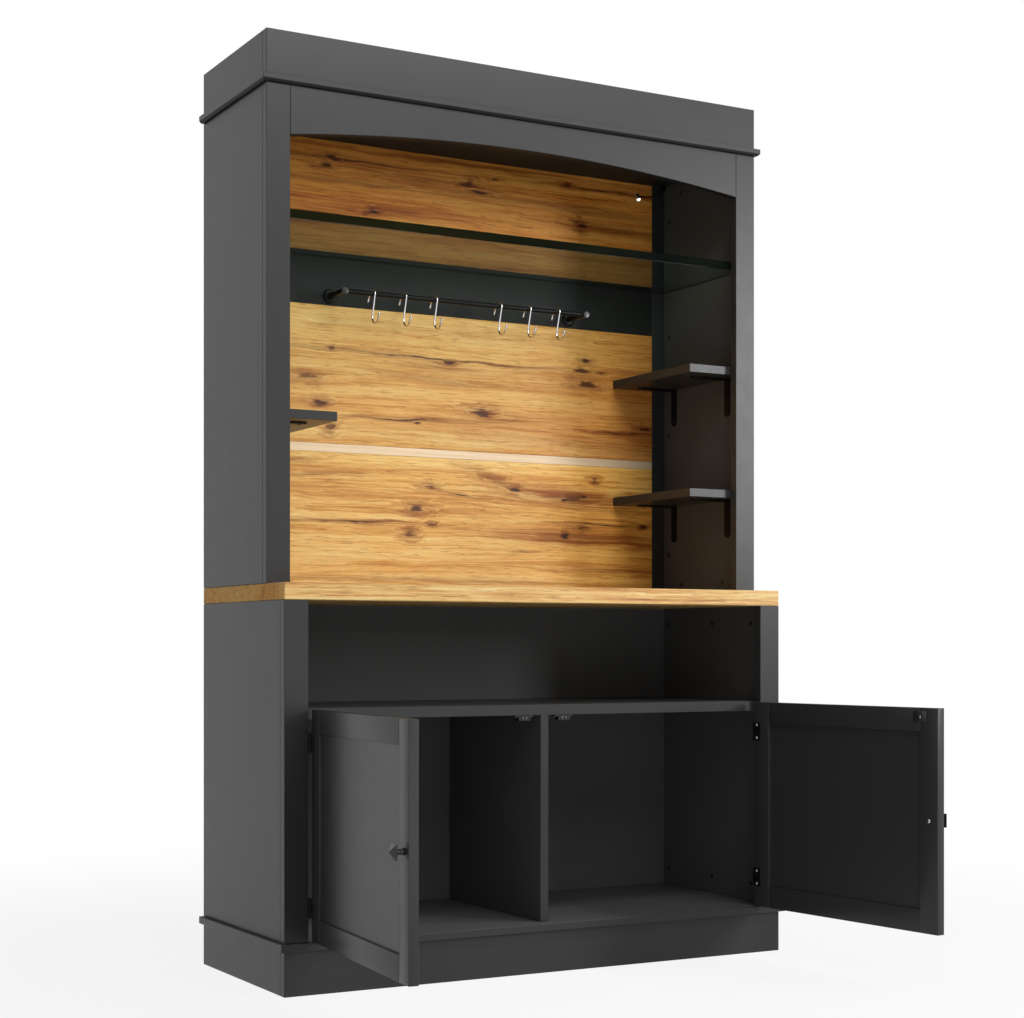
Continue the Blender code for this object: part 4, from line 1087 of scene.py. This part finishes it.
def softbox(name, azimuth, elevation, distance, size, radiance):
    """A rectangular lamp at angles right of the front and up, turned to the cabinet."""
    data = bpy.data.lights.new(name, "AREA")
    data.shape = "RECTANGLE"
    data.size, data.size_y = size
    data.energy = radiance * math.pi * size[0] * size[1]
    lamp = bpy.data.objects.new(name, data)
    bpy.context.collection.objects.link(lamp)
    right, up = math.radians(azimuth), math.radians(elevation)
    towards = Vector((math.sin(right) * math.cos(up), -math.cos(right) * math.cos(up), math.sin(up)))
    lamp.location = Vector(LAMPS_AIM) + towards * distance
    lamp.rotation_euler = towards.to_track_quat("Z", "Y").to_euler()
    lamp.visible_camera = False


def seen_directly(tree):
    """1 for rays of the camera, of mirrors and of glass, 0 for the light on the object."""
    path = node(tree, "LightPath")
    mirrored = calc(tree, "MAXIMUM", path.outputs["Is Glossy Ray"], path.outputs["Is Transmission Ray"])
    return calc(tree, "MAXIMUM", path.outputs["Is Camera Ray"], mirrored)


def build_stage():
    """A pale floor that keeps the shadow, a white surround and soft lamps."""
    world = bpy.data.worlds.new("surround")
    bpy.context.scene.world = world
    world.use_nodes = True
    tree = world.node_tree
    tree.nodes.clear()
    light = node(tree, "Background", {"Color": (1, 1, 1, 1), "Strength": SURROUND_LIGHT})
    white = node(tree, "Background", {"Color": (1, 1, 1, 1), "Strength": 1.0})
    mixed = node(tree, "MixShader", {0: seen_directly(tree), 1: light.outputs[0], 2: white.outputs[0]})
    output = node(tree, "OutputWorld")
    tree.links.new(mixed.outputs[0], output.inputs["Surface"])

    bm = bmesh.new()
    bmesh.ops.create_grid(bm, x_segments=1, y_segments=1, size=FLOOR_REACH)
    mesh = bpy.data.meshes.new("floor")
    bm.to_mesh(mesh)
    bm.free()
    floor = bpy.data.objects.new("floor", mesh)
    bpy.context.collection.objects.link(floor)
    material, tree, shader = new_material("pale_floor")
    shader.inputs["Base Color"].default_value = FLOOR_COLOUR
    shader.inputs["Roughness"].default_value = FLOOR_ROUGHNESS
    glow = node(tree, "Emission", {"Color": (1, 1, 1, 1), "Strength": 1.0})
    away = node(tree, "VectorMath", {0: object_place(tree)}, operation="LENGTH").outputs["Value"]
    bright = remap(tree, away, *FLOOR_FADE, *FLOOR_GLOW, "SMOOTHSTEP")
    share = calc(tree, "MULTIPLY", seen_directly(tree), bright)
    mixed = node(tree, "MixShader", {0: share, 1: shader.outputs[0], 2: glow.outputs[0]})
    tree.links.new(mixed.outputs[0], tree.nodes["Material Output"].inputs["Surface"])
    mesh.materials.append(material)

    for lamp in SOFTBOXES:
        softbox(*lamp)


def build_camera():
    """The photograph's view."""
    data = bpy.data.cameras.new("camera")
    data.lens = CAMERA_LENS
    data.sensor_width = SENSOR_WIDTH
    data.sensor_fit = "HORIZONTAL"
    data.shift_y = CAMERA_SHIFT_UP
    camera = bpy.data.objects.new("camera", data)
    bpy.context.collection.objects.link(camera)
    camera.location = CAMERA_PLACE
    camera.rotation_euler = (math.pi / 2, 0, -CAMERA_TURN)
    bpy.context.scene.camera = camera


main()
build_stage()
build_camera()
bpy.context.scene.view_settings.view_transform = "Standard"
